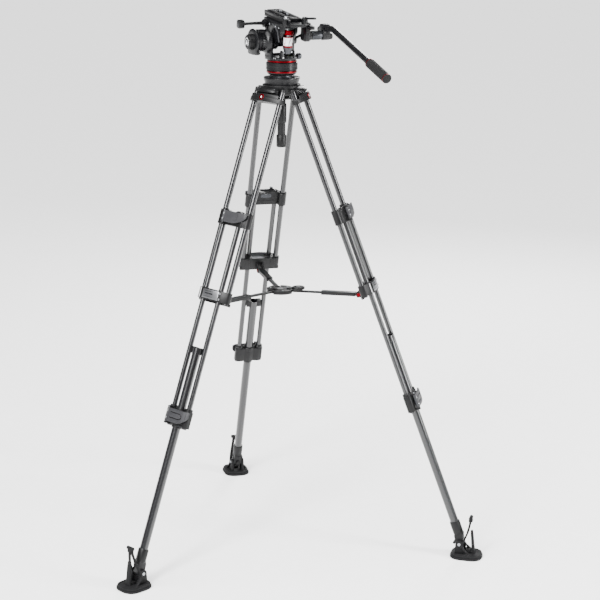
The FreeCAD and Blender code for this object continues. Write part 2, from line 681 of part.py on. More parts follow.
def make_platform():
    half = PLATFORM_WIDTH / 2
    y0, y1 = PLATFORM_Y
    floor_z = PLATFORM_Z + PLATFORM_THICK
    rail_z = floor_z + RAIL_HEIGHT
    parts = [box(-half, half, y0, y1, PLATFORM_Z, floor_z)]
    for side in (-1, 1):
        inner, outer = sorted((side * (half - RAIL_WIDTH), side * half))
        parts.append(box(inner, outer, y0 + 20, y1, floor_z - 1, rail_z))
    bx, by = BUTTON_AT
    parts.append(rod(8, (bx, by, PLATFORM_Z), (bx, by, rail_z + 3)))
    lx, ly = PLATE_LEVER_AT
    parts.append(rod(9, (lx, ly, floor_z - 1), (lx, ly, rail_z + 2)))
    parts.append(box(half - 1, 40, -100, -64, 14, floor_z))
    parts.append(box(half - 1, 40, -126, -99, 52, 66))
    parts.append(rod(ROSETTE_R, (38, ROSETTE_Y, ROSETTE_Z), (50, ROSETTE_Y, ROSETTE_Z)))
    parts.append(rod(4.5, (38, 26, -8), (38, -74, 36)))
    parts.append(rod(12, (33, 0, 0), (43, 0, 0)))
    body = join(*parts)
    body = body.cut(rod(5 + SLIDE_FIT, (bx, by, PLATFORM_Z + 5), (bx, by, 100)))
    return body.cut(rod(3 + SLIDE_FIT, (lx, ly, floor_z), (lx, ly, 100)))


SCREW_SPOTS = ((22.0, SCREW_LARGE_R), (-24.0, SCREW_SMALL_R))


def make_sliding_plate():
    half = PLATFORM_WIDTH / 2 - RAIL_WIDTH - 0.5
    z0 = PLATFORM_Z + PLATFORM_THICK + 0.3
    z1 = z0 + PLATE_THICK
    plate = box(-half, half, PLATE_REAR_Y, PLATE_REAR_Y + PLATE_LENGTH, z0, z1)
    slot = box(-5.2, 5.2, -44, 44, z0 - 1, z1 + 1)
    return plate.cut(slot).cut(box(-9, 9, -50, 50, z0 - 1, z0 + 5.2))


def make_camera_screws():
    z0 = PLATFORM_Z + PLATFORM_THICK + 0.8
    top = z0 - 0.5 + PLATE_THICK
    screws = []
    for y, radius in SCREW_SPOTS:
        head = rod(8.4, (0, y, z0), (0, y, z0 + 4.6))
        neck = rod(radius - 0.7, (0, y, z0 + 4), (0, y, top + 0.5))
        screws.append(join(head, neck, rod(radius, (0, y, top), (0, y, top + 6))))
    return group(*screws)


def make_plate_lever():
    lx, ly = PLATE_LEVER_AT
    z0 = PLATFORM_Z + PLATFORM_THICK + RAIL_HEIGHT + 2.4
    hub = rod(9, (lx, ly, z0), (lx, ly, z0 + 8))
    pin = rod(3, (lx, ly, z0 - 8), (lx, ly, z0 + 1))
    arm = rod(5, (lx, ly, z0 + 5), (lx + 2, ly - 60, z0 + 15))
    return join(hub, pin, arm)


def make_lock_button():
    bx, by = BUTTON_AT
    return rod(5, (bx, by, PLATFORM_Z + 9), (bx, by, PLATFORM_Z + 26))


def bar_direction():
    return V(0, -cos(radians(BAR_DROP)), -sin(radians(BAR_DROP)))


def make_bar_clamp():
    y, z = ROSETTE_Y, ROSETTE_Z
    barrel = rod(13.5, (50.4, y, z), (BAR_X - 8, y, z))
    head = box(BAR_X - 11, BAR_X + 11, y - 13, y + 17, z - 14, z + 31)
    y0, z0 = BAR_FRONT
    y1, z1 = BAR_BEND
    slope = (z1 - z0) / (y1 - y0)
    bore = rod(BAR_R + 0.02, (BAR_X, y0 + 20, z0 + 20 * slope), (BAR_X, y1, z1))
    return join(barrel, head).cut(bore).cut(rod(3 + SLIDE_FIT, (BAR_X + 2, y, z - 5), (BAR_X + 20, y, z - 5)))


def make_clamp_knob():
    y, z = ROSETTE_Y, ROSETTE_Z - 5
    return join(rod(3, (BAR_X + 3, y, z), (BAR_X + 13, y, z)), rod(9, (BAR_X + 11.5, y, z), (BAR_X + 24, y, z)))


def make_pan_bar():
    start = (BAR_X,) + BAR_FRONT
    bend = V(BAR_X, *BAR_BEND)
    end = bend + bar_direction() * (BAR_LENGTH - 3)
    return join(rod(BAR_R, start, bend), Part.makeSphere(BAR_R, bend), rod(BAR_R, bend, end))


def make_grip():
    bend = V(BAR_X, *BAR_BEND)
    start = bend + bar_direction() * (BAR_LENGTH - GRIP_LENGTH)
    end = bend + bar_direction() * BAR_LENGTH
    bore_end = bend + bar_direction() * (BAR_LENGTH - 3)
    return rod(GRIP_R, start, end).cut(rod(BAR_R + 0.02, start - bar_direction(), bore_end))


def main():
    os.makedirs("parts", exist_ok=True)
    for index, azimuth in enumerate(LEG_AZIMUTHS, 1):
        leg, upright, arm = leg_frame(azimuth), radial_frame(azimuth), arm_frame(azimuth)
        name = "leg_%d_" % index
        save(name + "yoke", placed(make_yoke(), leg))
        save(name + "upper_tubes", placed(make_upper_tubes(), leg))
        save(name + "bracket", placed(make_bracket(), leg))
        save(name + "mid_tubes", placed(make_mid_tubes(), leg))
        save(name + "upper_lock", placed(make_upper_lock(), leg))
        save(name + "upper_lever", placed(make_upper_lever(), leg))
        save(name + "lower_lock", placed(make_lower_lock(), leg))
        save(name + "lower_lever", placed(make_lower_lever(), leg))
        save(name + "foot_tube", placed(make_foot_tube(), leg))
        save(name + "foot_shoe", placed(make_shoe(), upright))
        save(name + "arm_outer", placed(make_arm_outer(), arm))
        save(name + "arm_inner", placed(make_arm_inner(index == 3), arm))
    save("spreader_hub", make_hub())
    save("bowl_casting", make_casting())
    save("bowl_adaptor", make_adaptor())
    save("half_ball", make_half_ball())
    save("levelling_handle", make_handle())
    head, tilt = head_frame(), tilt_frame()
    save("head_base", make_head_base())
    save("pan_drag_ring", make_drag_ring())
    save("pan_body", placed(make_pan_body(), head))
    save("pan_lock_knob", placed(make_pan_lock_knob(), head))
    save("tilt_housing", placed(make_tilt_housing(), head))
    save("balance_knob", placed(make_balance_knob(), head))
    save("counterbalance_cylinder", placed(make_piston_barrel(), piston_frame(PISTON_BASE)))
    save("counterbalance_rod", placed(make_piston_rod(), piston_frame(PISTON_HEAD)))
    save("tilt_body", placed(make_tilt_body(), tilt))
    save("tilt_lock_lever", placed(make_tilt_lock_lever(), tilt))
    save("platform", placed(make_platform(), tilt))
    save("sliding_plate", placed(make_sliding_plate(), tilt))
    save("camera_screws", placed(make_camera_screws(), tilt))
    save("plate_lever", placed(make_plate_lever(), tilt))
    save("lock_button", placed(make_lock_button(), tilt))
    save("bar_clamp", placed(make_bar_clamp(), tilt))
    save("clamp_knob", placed(make_clamp_knob(), tilt))
    save("pan_bar", placed(make_pan_bar(), tilt))
    save("grip", placed(make_grip(), tilt))


main()
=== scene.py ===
"""A video tripod with twin-tube legs, a spreader, rubber feet and a fluid head.

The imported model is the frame: every piece made here rides on one of its bodies. Local sizes are in
millimetres, and each sub-assembly has a frame matrix that puts them in the model, in metres.
"""

import logging
from dataclasses import dataclass
from enum import Enum
from math import asin, cos, hypot, pi, radians, sin, sqrt

import bmesh
import bpy
from mathutils import Matrix, Vector

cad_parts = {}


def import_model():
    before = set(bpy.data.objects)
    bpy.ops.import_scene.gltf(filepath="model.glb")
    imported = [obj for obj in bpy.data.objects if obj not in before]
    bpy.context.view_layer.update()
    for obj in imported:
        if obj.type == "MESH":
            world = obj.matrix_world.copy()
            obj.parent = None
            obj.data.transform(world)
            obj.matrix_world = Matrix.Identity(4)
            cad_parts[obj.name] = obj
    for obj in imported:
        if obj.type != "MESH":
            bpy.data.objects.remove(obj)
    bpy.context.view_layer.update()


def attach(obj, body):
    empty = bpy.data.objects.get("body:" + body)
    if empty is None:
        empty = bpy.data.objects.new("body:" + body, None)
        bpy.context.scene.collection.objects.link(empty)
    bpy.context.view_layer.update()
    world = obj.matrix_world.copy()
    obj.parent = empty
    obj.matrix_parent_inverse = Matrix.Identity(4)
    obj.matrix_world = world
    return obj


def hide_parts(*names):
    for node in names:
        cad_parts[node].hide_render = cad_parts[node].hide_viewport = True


LOG = logging.getLogger("tripod")
MM = 0.001

Point2 = tuple[float, float]
Point3 = tuple[float, float, float]


# ---------------------------------------------------------------------------------------------
# Places
# ---------------------------------------------------------------------------------------------
@dataclass(frozen=True)
class Layout:
    """The sizes that place the sub-assemblies, in millimetres and degrees."""

    leg_azimuths: tuple[float, float, float] = (90.0, 210.0, 330.0)
    leg_spread: float = 20.9
    hinge_radius: float = 51.0
    hinge_height: float = 1382.0
    arm_pivot_down: float = 619.0
    arm_pivot_in: float = 30.0
    hub_pivot_radius: float = 34.0
    hub_pivot_height: float = 788.0
    head_yaw: float = 11.25
    tilt_axis_height: float = 1535.0
    rest_tilt: float = 6.5

    def leg(self, azimuth: float) -> Matrix:
        """Returns a leg's frame: X across, Y outward, Z up along the leg, from its hinge."""
        theta, alpha = radians(azimuth), radians(self.leg_spread)
        out, up = Vector((cos(theta), sin(theta), 0)), Vector((0, 0, 1))
        across = out.cross(up)
        normal = out * cos(alpha) + up * sin(alpha)
        along = up * cos(alpha) - out * sin(alpha)
        origin = out * self.hinge_radius + up * self.hinge_height
        return basis(across, normal, along, origin)

    def upright(self, azimuth: float) -> Matrix:
        """Returns the level frame whose X points out along a leg, from the floor."""
        return Matrix.Scale(MM, 4) @ Matrix.Rotation(radians(azimuth), 4, "Z")

    def arm_pivot(self) -> Point2:
        """Returns the spreader arm's outer pivot: distance from the axis, and height."""
        alpha = radians(self.leg_spread)
        r = self.hinge_radius - self.arm_pivot_in * cos(alpha) + self.arm_pivot_down * sin(alpha)
        z = self.hinge_height - self.arm_pivot_in * sin(alpha) - self.arm_pivot_down * cos(alpha)
        return r, z

    def arm(self, azimuth: float) -> Matrix:
        """Returns an arm's frame: X from the bracket to the hub, Z up."""
        r, z = self.arm_pivot()
        run = Vector((self.hub_pivot_radius - r, 0, self.hub_pivot_height - z)).normalized()
        side = Vector((0, 0, 1)).cross(run).normalized()
        local = basis(run, side, run.cross(side), Vector((r, 0, z)))
        return Matrix.Rotation(radians(azimuth), 4, "Z") @ local

    def arm_span(self) -> float:
        """Returns the arm's length from pivot to pivot."""
        r, z = self.arm_pivot()
        return hypot(r - self.hub_pivot_radius, z - self.hub_pivot_height)

    def head(self) -> Matrix:
        """Returns the head's frame at floor level: X right, Y front, Z up."""
        return Matrix.Scale(MM, 4) @ Matrix.Rotation(radians(self.head_yaw), 4, "Z")

    def tilt(self) -> Matrix:
        """Returns the tilting parts' frame, from the tilt axis."""
        lift = Matrix.Translation((0, 0, self.tilt_axis_height))
        return self.head() @ lift @ Matrix.Rotation(radians(self.rest_tilt), 4, "X")


def basis(x: Vector, y: Vector, z: Vector, origin: Vector) -> Matrix:
    """Makes a frame matrix from millimetres to metres.

    Args:
        x: The frame's X axis.
        y: The frame's Y axis.
        z: The frame's Z axis.
        origin: The frame's origin, in millimetres.

    Returns:
        The matrix.
    """
    turn = Matrix((x, y, z)).transposed().to_4x4()
    return Matrix.Scale(MM, 4) @ Matrix.Translation(origin) @ turn


LAYOUT = Layout()


# ---------------------------------------------------------------------------------------------
# Finishes
# ---------------------------------------------------------------------------------------------
def srgb(code: str) -> tuple[float, float, float, float]:
    """Turns a hex colour into linear light.

    Args:
        code: Six hex digits, sRGB.

    Returns:
        Linear red, green, blue and alpha.
    """
    parts = [int(code[i:i + 2], 16) / 255 for i in (0, 2, 4)]
    linear = [c / 12.92 if c <= 0.04045 else ((c + 0.055) / 1.055) ** 2.4 for c in parts]
    return (*linear, 1.0)


def add(tree: bpy.types.NodeTree, kind: str, inputs: dict | None = None, **settings: object) -> bpy.types.Node:
    """Adds a node with its settings and its links.

    Args:
        tree: The tree it goes in.
        kind: The node's type.
        inputs: Input name or index to a value, or to a socket to link from.
        **settings: The node's own properties.

    Returns:
        The node.
    """
    made = tree.nodes.new(kind)
    for key, value in settings.items():
        setattr(made, key, value)
    for key, value in (inputs or {}).items():
        if isinstance(value, bpy.types.NodeSocket):
            tree.links.new(value, made.inputs[key])
        else:
            made.inputs[key].default_value = value
    return made


@dataclass(frozen=True)
class Finish:
    """A surface: what it is made of and how that was worked."""

    name: str
    colour: str
    roughness: float
    metallic: float = 0.0
    grain_mm: float = 0.6
    grain_depth: float = 0.12
    blotch: float = 0.12
    coat: float = 0.0
    spread: float = 0.06
    specular: float = 0.5

    def material(self) -> bpy.types.Material:
        """Returns the finish's material, made on first use."""
        found = bpy.data.materials.get(self.name)
        return found if found else self.build()

    def start(self) -> tuple[bpy.types.Material, bpy.types.NodeTree, bpy.types.Node]:
        """Returns a new material, its tree and its shader, with the plain values set."""
        made = bpy.data.materials.new(self.name)
        made.use_nodes = True
        made.diffuse_color = srgb(self.colour)
        tree = made.node_tree
        shader = tree.nodes["Principled BSDF"]
        shader.inputs["Base Color"].default_value = srgb(self.colour)
        shader.inputs["Roughness"].default_value = self.roughness
        shader.inputs["Metallic"].default_value = self.metallic
        shader.inputs["Coat Weight"].default_value = self.coat
        shader.inputs["Coat Roughness"].default_value = 0.12
        shader.inputs["Specular IOR Level"].default_value = self.specular
        return made, tree, shader

    def build(self) -> bpy.types.Material:
        """Returns the material: fine grain in the bump, and slow change in colour and gloss."""
        made, tree, shader = self.start()
        place = add(tree, "ShaderNodeTexCoord").outputs["Object"]
        # Grain of the real size in metres; the slow noise is the handling marks, some 40 mm across.
        fine = add(tree, "ShaderNodeTexNoise", {"Vector": place, "Scale": 1 / (self.grain_mm * MM), "Detail": 3.0})
        slow = add(tree, "ShaderNodeTexNoise", {"Vector": place, "Scale": 1 / (40 * MM), "Detail": 4.0})
        tone = add(tree, "ShaderNodeMapRange", {
            "Value": slow.outputs["Fac"], "From Min": 0.3, "From Max": 0.7,
            "To Min": 1 - self.blotch, "To Max": 1 + self.blotch})
        tint = add(tree, "ShaderNodeVectorMath", {
            0: srgb(self.colour)[:3], "Scale": tone.outputs["Result"]}, operation="SCALE")
        tree.links.new(tint.outputs["Vector"], shader.inputs["Base Color"])
        gloss = add(tree, "ShaderNodeMapRange", {
            "Value": slow.outputs["Fac"], "From Min": 0.3, "From Max": 0.7,
            "To Min": self.roughness - self.spread, "To Max": self.roughness + self.spread})
        tree.links.new(gloss.outputs["Result"], shader.inputs["Roughness"])
        bump = add(tree, "ShaderNodeBump", {
            "Height": fine.outputs["Fac"], "Strength": self.grain_depth, "Distance": 0.2 * MM})
        tree.links.new(bump.outputs["Normal"], shader.inputs["Normal"])
        return made


@dataclass(frozen=True)
class TwillFinish(Finish):
    """Roll-wrapped carbon fibre in clear resin: a 2 by 2 twill under gloss."""

    azimuth: float = 90.0
    across_mm: float = 52.0
    out_mm: float = 0.0
    radius_mm: float = 8.0
    tow_mm: float = 3.2

    def build(self) -> bpy.types.Material:
        """Returns the material, with the weave wrapped round the leg's own tubes."""
        made, tree, shader = self.start()
        place = add(tree, "ShaderNodeTexCoord").outputs["Object"]
        frame = LAYOUT.leg(self.azimuth)
        origin = frame.translation
        local = add(tree, "ShaderNodeVectorMath", {0: place, 1: tuple(origin)}, operation="SUBTRACT")
        axes = [frame.to_3x3().col[i].normalized() for i in range(3)]
        x, y, z = [add(tree, "ShaderNodeVectorMath", {0: local.outputs["Vector"], 1: tuple(a)},
                       operation="DOT_PRODUCT").outputs["Value"] for a in axes]
        side = add(tree, "ShaderNodeMath", {0: x}, operation="ABSOLUTE")
        x0 = add(tree, "ShaderNodeMath", {0: side.outputs[0], 1: self.across_mm * MM}, operation="SUBTRACT")
        y0 = add(tree, "ShaderNodeMath", {0: y, 1: self.out_mm * MM}, operation="SUBTRACT")
        turn = add(tree, "ShaderNodeMath", {0: y0.outputs[0], 1: x0.outputs[0]}, operation="ARCTAN2")
        # A real tow is 2 mm wide; 3.2 mm is the finest that shows at arm's length from the render.
        tows = round(2 * pi * self.radius_mm / self.tow_mm / 4) * 4
        u = add(tree, "ShaderNodeMath", {0: turn.outputs[0], 1: tows / (2 * pi)}, operation="MULTIPLY")
        v = add(tree, "ShaderNodeMath", {0: z, 1: 1 / (self.tow_mm * MM)}, operation="MULTIPLY")
        cells = [add(tree, "ShaderNodeMath", {0: s.outputs[0]}, operation="FLOOR") for s in (u, v)]
        step = add(tree, "ShaderNodeMath", {0: cells[0].outputs[0], 1: cells[1].outputs[0]}, operation="ADD")
        turn4 = add(tree, "ShaderNodeMath", {0: step.outputs[0], 1: 4.0}, operation="FLOORED_MODULO")
        over = add(tree, "ShaderNodeMath", {0: turn4.outputs[0], 1: 1.5}, operation="LESS_THAN")
        ridges = []
        for s in (u, v):
            part = add(tree, "ShaderNodeMath", {0: s.outputs[0], 1: 1.0}, operation="PINGPONG")
            ridges.append(part.outputs[0])
        ridge = add(tree, "ShaderNodeMix", {"Factor": over.outputs[0], "A": ridges[0], "B": ridges[1]})
        dark, light = srgb("0a0a0c"), srgb("101013")
        tone = add(tree, "ShaderNodeMix", data_type="RGBA")
        tree.links.new(over.outputs[0], tone.inputs[0])
        tone.inputs[6].default_value, tone.inputs[7].default_value = dark, light
        tree.links.new(tone.outputs[2], shader.inputs["Base Color"])
        rough = add(tree, "ShaderNodeMapRange", {"Value": over.outputs[0], "To Min": self.roughness,
                                                 "To Max": self.roughness + 0.02})
        tree.links.new(rough.outputs["Result"], shader.inputs["Roughness"])
        bump = add(tree, "ShaderNodeBump", {"Height": ridge.outputs["Result"], "Strength": 0.004,
                                            "Distance": 0.15 * MM})
        tree.links.new(bump.outputs["Normal"], shader.inputs["Normal"])
        return made


@dataclass(frozen=True)
class BrushedFinish(Finish):
    """Turned or brushed metal: fine scratches along one direction."""

    lay: Point3 = (0.02, 1.0, 1.0)

    def build(self) -> bpy.types.Material:
        """Returns the material, with streaks drawn out along the lay."""
        made, tree, shader = self.start()
        place = add(tree, "ShaderNodeTexCoord").outputs["Object"]
        drawn = add(tree, "ShaderNodeMapping", {"Vector": place, "Scale": self.lay})
        streak = add(tree, "ShaderNodeTexNoise", {
            "Vector": drawn.outputs["Vector"], "Scale": 1 / (self.grain_mm * MM), "Detail": 2.0})
        gloss = add(tree, "ShaderNodeMapRange", {
            "Value": streak.outputs["Fac"], "To Min": self.roughness - self.spread,
            "To Max": self.roughness + self.spread})
        tree.links.new(gloss.outputs["Result"], shader.inputs["Roughness"])
        bump = add(tree, "ShaderNodeBump", {
            "Height": streak.outputs["Fac"], "Strength": self.grain_depth, "Distance": 0.05 * MM})
        tree.links.new(bump.outputs["Normal"], shader.inputs["Normal"])
        return made


@dataclass(frozen=True)
class VialFinish(Finish):
    """Tinted spirit behind clear acrylic."""

    def build(self) -> bpy.types.Material:
        """Returns the material: a tinted, mostly clear gloss."""
        made, tree, shader = self.start()
        place = add(tree, "ShaderNodeTexCoord").outputs["Object"]
        swirl = add(tree, "ShaderNodeTexNoise", {"Vector": place, "Scale": 1 / (6 * MM), "Detail": 1.0})
        gloss = add(tree, "ShaderNodeMapRange", {"Value": swirl.outputs["Fac"], "To Min": 0.03, "To Max": 0.08})
        tree.links.new(gloss.outputs["Result"], shader.inputs["Roughness"])
        shader.inputs["Transmission Weight"].default_value = 0.35
        shader.inputs["IOR"].default_value = 1.49
        return made


# Die-cast aluminium under satin black powder: an even orange-peel skin, soft highlights.
CASTING = Finish("satin_black_powder_coat", "0c0c0d", 0.4, grain_mm=0.9, grain_depth=0.12, specular=0.2)
# The head's own castings are finer and a little darker, with a silky sheen.
HEAD_CASTING = Finish("silky_black_anodised_casting", "08080a", 0.33, grain_mm=0.5,
                      grain_depth=0.08, specular=0.25)
# Glass-filled nylon from a spark-eroded mould: mid grey, dull, a leathery grain.
LEVER = Finish("moulded_grey_nylon", "29292b", 0.45, grain_mm=1.1, grain_depth=0.15, specular=0.25)
# Moulded ABS with a fine even texture, near black.
MOULDING = Finish("moulded_black_abs", "0a0a0b", 0.42, grain_mm=0.8, grain_depth=0.1, specular=0.22)
# Moulded rubber: dead matt, faintly grey where it is handled.
RUBBER = Finish("moulded_black_rubber", "101011", 0.7, grain_mm=1.4, grain_depth=0.2, blotch=0.2, specular=0.15)
# Red dye under clear anodising on turned aluminium.
RED = BrushedFinish("red_anodised_aluminium", "650510", 0.36, metallic=1.0, grain_mm=0.4,
                    grain_depth=0.1, lay=(1.0, 1.0, 0.05))
# Clear anodised aluminium, brushed along its length.
SILVER = BrushedFinish("brushed_clear_anodised_aluminium", "a4a5a8", 0.32, metallic=1.0,
                       grain_mm=0.5, grain_depth=0.12)
# Zinc-plated steel, as screws and pins come.
STEEL = BrushedFinish("bright_zinc_plated_steel", "8f9194", 0.28, metallic=1.0, grain_mm=0.4,
                      grain_depth=0.08)
# White and red pad-printed ink, flat on the surface.
WHITE_INK = Finish("white_printed_ink", "d2d2d4", 0.45, grain_mm=0.5, grain_depth=0.05, blotch=0.03)
RED_INK = Finish("red_printed_ink", "8a0a17", 0.4, grain_mm=0.5, grain_depth=0.05, blotch=0.05)
# Grey anodised cone under the counterbalance.
GREY = Finish("grey_anodised_aluminium", "3c3d40", 0.36, metallic=0.9, grain_mm=0.4, grain_depth=0.1)
VIAL = VialFinish("tinted_spirit_in_acrylic", "b8d83a", 0.05)


# ---------------------------------------------------------------------------------------------
# Making shapes
# ---------------------------------------------------------------------------------------------
class Axis(Enum):
    """Which way a prism is pushed, and so which plane its outline lies in."""

    X = "x"
    Y = "y"
    Z = "z"

    def point(self, a: float, b: float, c: float) -> Vector:
        """Returns the 3-D point for outline position (a, b) at height c."""
        if self is Axis.X:
            return Vector((c, a, b))
        if self is Axis.Y:
            return Vector((a, c, b))
        return Vector((a, b, c))


def rounded(points: list[Point2], radius: float | list[float], steps: int = 5) -> list[Point2]:
    """Rounds an outline's corners.

    Args:
        points: The outline's corners, in order.
        radius: One radius, or one for each corner.
        steps: Segments in each rounded corner.

    Returns:
        The rounded outline.
    """
    radii = radius if isinstance(radius, list) else [radius] * len(points)
    out: list[Point2] = []
    for i, corner in enumerate(points):
        before, here, after = Vector(points[i - 1]), Vector(corner), Vector(points[(i + 1) % len(points)])
        one, two = (before - here), (after - here)
        if radii[i] <= 0 or one.length < 1e-6 or two.length < 1e-6:
            out.append(corner)
            continue
        half = one.angle(two) / 2
        reach = min(radii[i] / max(0.05, abs(sin(half) / cos(half))) if cos(half) > 1e-4 else 0,
                    one.length * 0.49, two.length * 0.49)
        if reach < 1e-3:
            out.append(corner)
            continue
        start, end = here + one.normalized() * reach, here + two.normalized() * reach
        for k in range(steps + 1):
            t = k / steps
            spot = start * (1 - t) ** 2 + here * 2 * t * (1 - t) + end * t ** 2
            out.append((spot.x, spot.y))
    return out


def bulged(half: float, edge: float, crown: float, steps: int = 20) -> list[Point2]:
    """Returns points along an arc from (half, edge) over (0, crown) to (-half, edge)."""
    rise = crown - edge
    radius = (half * half + rise * rise) / (2 * rise)
    sweep = asin(half / radius)
    centre = crown - radius
    angles = [sweep - 2 * sweep * i / steps for i in range(steps + 1)]
    return [(radius * sin(a), centre + radius * cos(a)) for a in angles]


def ring_points(radius: float, at: Point2 = (0.0, 0.0), sides: int = 32) -> list[Point2]:
    """Returns a circle's points."""
    return [(at[0] + radius * cos(2 * pi * i / sides), at[1] + radius * sin(2 * pi * i / sides))
            for i in range(sides)]


class Piece:
    """One finished piece: shapes put together in a frame, then dressed and given to a body."""

    def __init__(self, name: str, frame: Matrix) -> None:
        """Starts an empty piece.

        Args:
            name: The piece's name.
            frame: From the piece's millimetres to the model's metres.
        """
        self.name = name
        self.frame = frame
        self.mesh = bmesh.new()
        self.finishes: list[Finish] = []

    def index(self, finish: Finish) -> int:
        """Returns the finish's place in the piece's material list."""
        if finish not in self.finishes:
            self.finishes.append(finish)
        return self.finishes.index(finish)

    def take(self, part: bmesh.types.BMesh, finish: Finish, bevel: float, carve: "Piece | None" = None) -> "Piece":
        """Adds a closed part, with its edges eased.

        Args:
            part: The part; it is used up.
            finish: Its finish.
            bevel: How far its sharp edges are eased.
            carve: A piece whose shapes are cut out of it first.

        Returns:
            This piece.
        """
        bmesh.ops.remove_doubles(part, verts=part.verts, dist=1e-4)
        bmesh.ops.recalc_face_normals(part, faces=part.faces)
        if carve is not None:
            part = carved(part, carve.mesh)
        if bevel > 0:
            part.normal_update()
            sharp = [e for e in part.edges if e.is_manifold and e.calc_face_angle(0) > radians(28)]
            if sharp:
                bmesh.ops.bevel(part, geom=sharp, offset=bevel, segments=2, profile=0.6,
                                affect="EDGES", clamp_overlap=True)
        number = self.index(finish)
        for face in part.faces:
            face.material_index = number
        held = bpy.data.meshes.new("part")
        part.to_mesh(held)
        part.free()
        self.mesh.from_mesh(held)
        bpy.data.meshes.remove(held)
        return self

    def prism(self, outline: list[Point2], low: float, high: float, finish: Finish, axis: Axis = Axis.Z,
              bevel: float = 0.6, carve: "Piece | None" = None) -> "Piece":
        """Adds an outline pushed along an axis.

        Args:
            outline: The outline, in the plane across the axis.
            low: Where it starts along the axis.
            high: Where it ends.
            finish: Its finish.
            axis: The axis.
            bevel: How far the edges are eased.
            carve: Shapes cut out of it.

        Returns:
            This piece.
        """
        part = bmesh.new()
        bottom = [part.verts.new(axis.point(a, b, low)) for a, b in outline]
        top = [part.verts.new(axis.point(a, b, high)) for a, b in outline]
        part.faces.new(list(reversed(bottom)))
        part.faces.new(top)
        count = len(outline)
        for i in range(count):
            j = (i + 1) % count
            part.faces.new((bottom[i], bottom[j], top[j], top[i]))
        return self.take(part, finish, bevel, carve)

    def lathe(self, profile: list[Point2], start: Point3, end: Point3, finish: Finish, sides: int = 48,
              bevel: float = 0.0, carve: "Piece | None" = None) -> "Piece":
        """Adds a shape turned about a line.

        Args:
            profile: (radius, distance along the line) points; both ends close on the line.
            start: The line's start.
            end: A point that the line passes.
            finish: Its finish.
            sides: Segments round it.
            bevel: How far the edges are eased.
            carve: Shapes cut out of it.

        Returns:
            This piece.
        """
        part = bmesh.new()
        turn = (Vector(end) - Vector(start)).to_track_quat("Z", "Y").to_matrix().to_4x4()
        place = Matrix.Translation(start) @ turn
        rings = []
        for r, z in profile:
            if r < 1e-6:
                rings.append([part.verts.new(place @ Vector((0, 0, z)))])
            else:
                rings.append([part.verts.new(place @ Vector((r * cos(2 * pi * i / sides),
                                                             r * sin(2 * pi * i / sides), z)))
                              for i in range(sides)])
        for one, two in zip(rings, rings[1:]):
            for i in range(sides):
                j = (i + 1) % sides
                loop = [one[i % len(one)], one[j % len(one)], two[j % len(two)], two[i % len(two)]]
                unique = list(dict.fromkeys(loop))
                if len(unique) > 2:
                    part.faces.new(unique)
        for ring, flip in ((rings[0], True), (rings[-1], False)):
            if len(ring) > 1:
                part.faces.new(list(reversed(ring)) if flip else ring)
        return self.take(part, finish, bevel, carve)

    def hoop(self, profile: list[Point2], at: Point2, finish: Finish, sides: int = 40, bevel: float = 0.0,
             carve: "Piece | None" = None) -> "Piece":
        """Adds a ring about an upright axis.

        Args:
            profile: The ring's closed section: (radius, height) points.
            at: Where the axis is.
            finish: Its finish.
            sides: Segments round it.
            bevel: How far the edges are eased.
            carve: Shapes cut out of it.

        Returns:
            This piece.
        """
        part = bmesh.new()
        x, y = at
        rings = [[part.verts.new((x + r * cos(2 * pi * i / sides), y + r * sin(2 * pi * i / sides), z))
                  for i in range(sides)] for r, z in profile]
        for one, two in zip(rings, rings[1:] + rings[:1]):
            for i in range(sides):
                j = (i + 1) % sides
                part.faces.new((one[i], one[j], two[j], two[i]))
        return self.take(part, finish, bevel, carve)

    def rod(self, radius: float, start: Point3, end: Point3, finish: Finish, ease: float = 0.6,
            sides: int = 32) -> "Piece":
        """Adds a round bar whose ends are eased."""
        length = (Vector(end) - Vector(start)).length
        ease = min(ease, radius * 0.45, length * 0.45)
        profile = [(0, 0), (radius - ease, 0), (radius - ease * 0.3, ease * 0.3), (radius, ease),
                   (radius, length - ease), (radius - ease * 0.3, length - ease * 0.3),
                   (radius - ease, length), (0, length)]
        return self.lathe(profile, start, end, finish, sides)

    def sweep(self, path: list[Point3], section: list[Point2], finish: Finish, up: Point3 = (0, 0, 1),
              sizes: list[float] | None = None, bevel: float = 0.0) -> "Piece":
        """Adds a section carried along a path.

        Args:
            path: The path's points.
            section: The section's outline: across, and up.
            finish: Its finish.
            up: The direction that the section's second number follows.
            sizes: The section's scale at each point.
            bevel: How far the edges are eased.

        Returns:
            This piece.
        """
        part = bmesh.new()
        rings = []
        for i, spot in enumerate(path):
            here = Vector(spot)
            ahead = Vector(path[min(i + 1, len(path) - 1)]) - Vector(path[max(i - 1, 0)])
            side = ahead.cross(Vector(up)).normalized()
            rise = side.cross(ahead).normalized()
            size = sizes[i] if sizes else 1.0
            rings.append([part.verts.new(here + side * a * size + rise * b * size) for a, b in section])
        count = len(section)
        for one, two in zip(rings, rings[1:]):
            for i in range(count):
                j = (i + 1) % count
                part.faces.new((one[i], one[j], two[j], two[i]))
        part.faces.new(list(reversed(rings[0])))
        part.faces.new(rings[-1])
        return self.take(part, finish, bevel)

    def done(self, body: str, slot: str, *nodes: str) -> bpy.types.Object:
        """Turns the piece into an object on its body.

        Args:
            body: The body that it rides on.
            slot: Not used.
            *nodes: The model's nodes that it stands for.

        Returns:
            The object.
        """
        mesh = bpy.data.meshes.new(self.name)
        self.mesh.to_mesh(mesh)
        self.mesh.free()
        mesh.transform(self.frame)
        return settle(mesh, self.name, [f.material() for f in self.finishes], body, slot, *nodes)


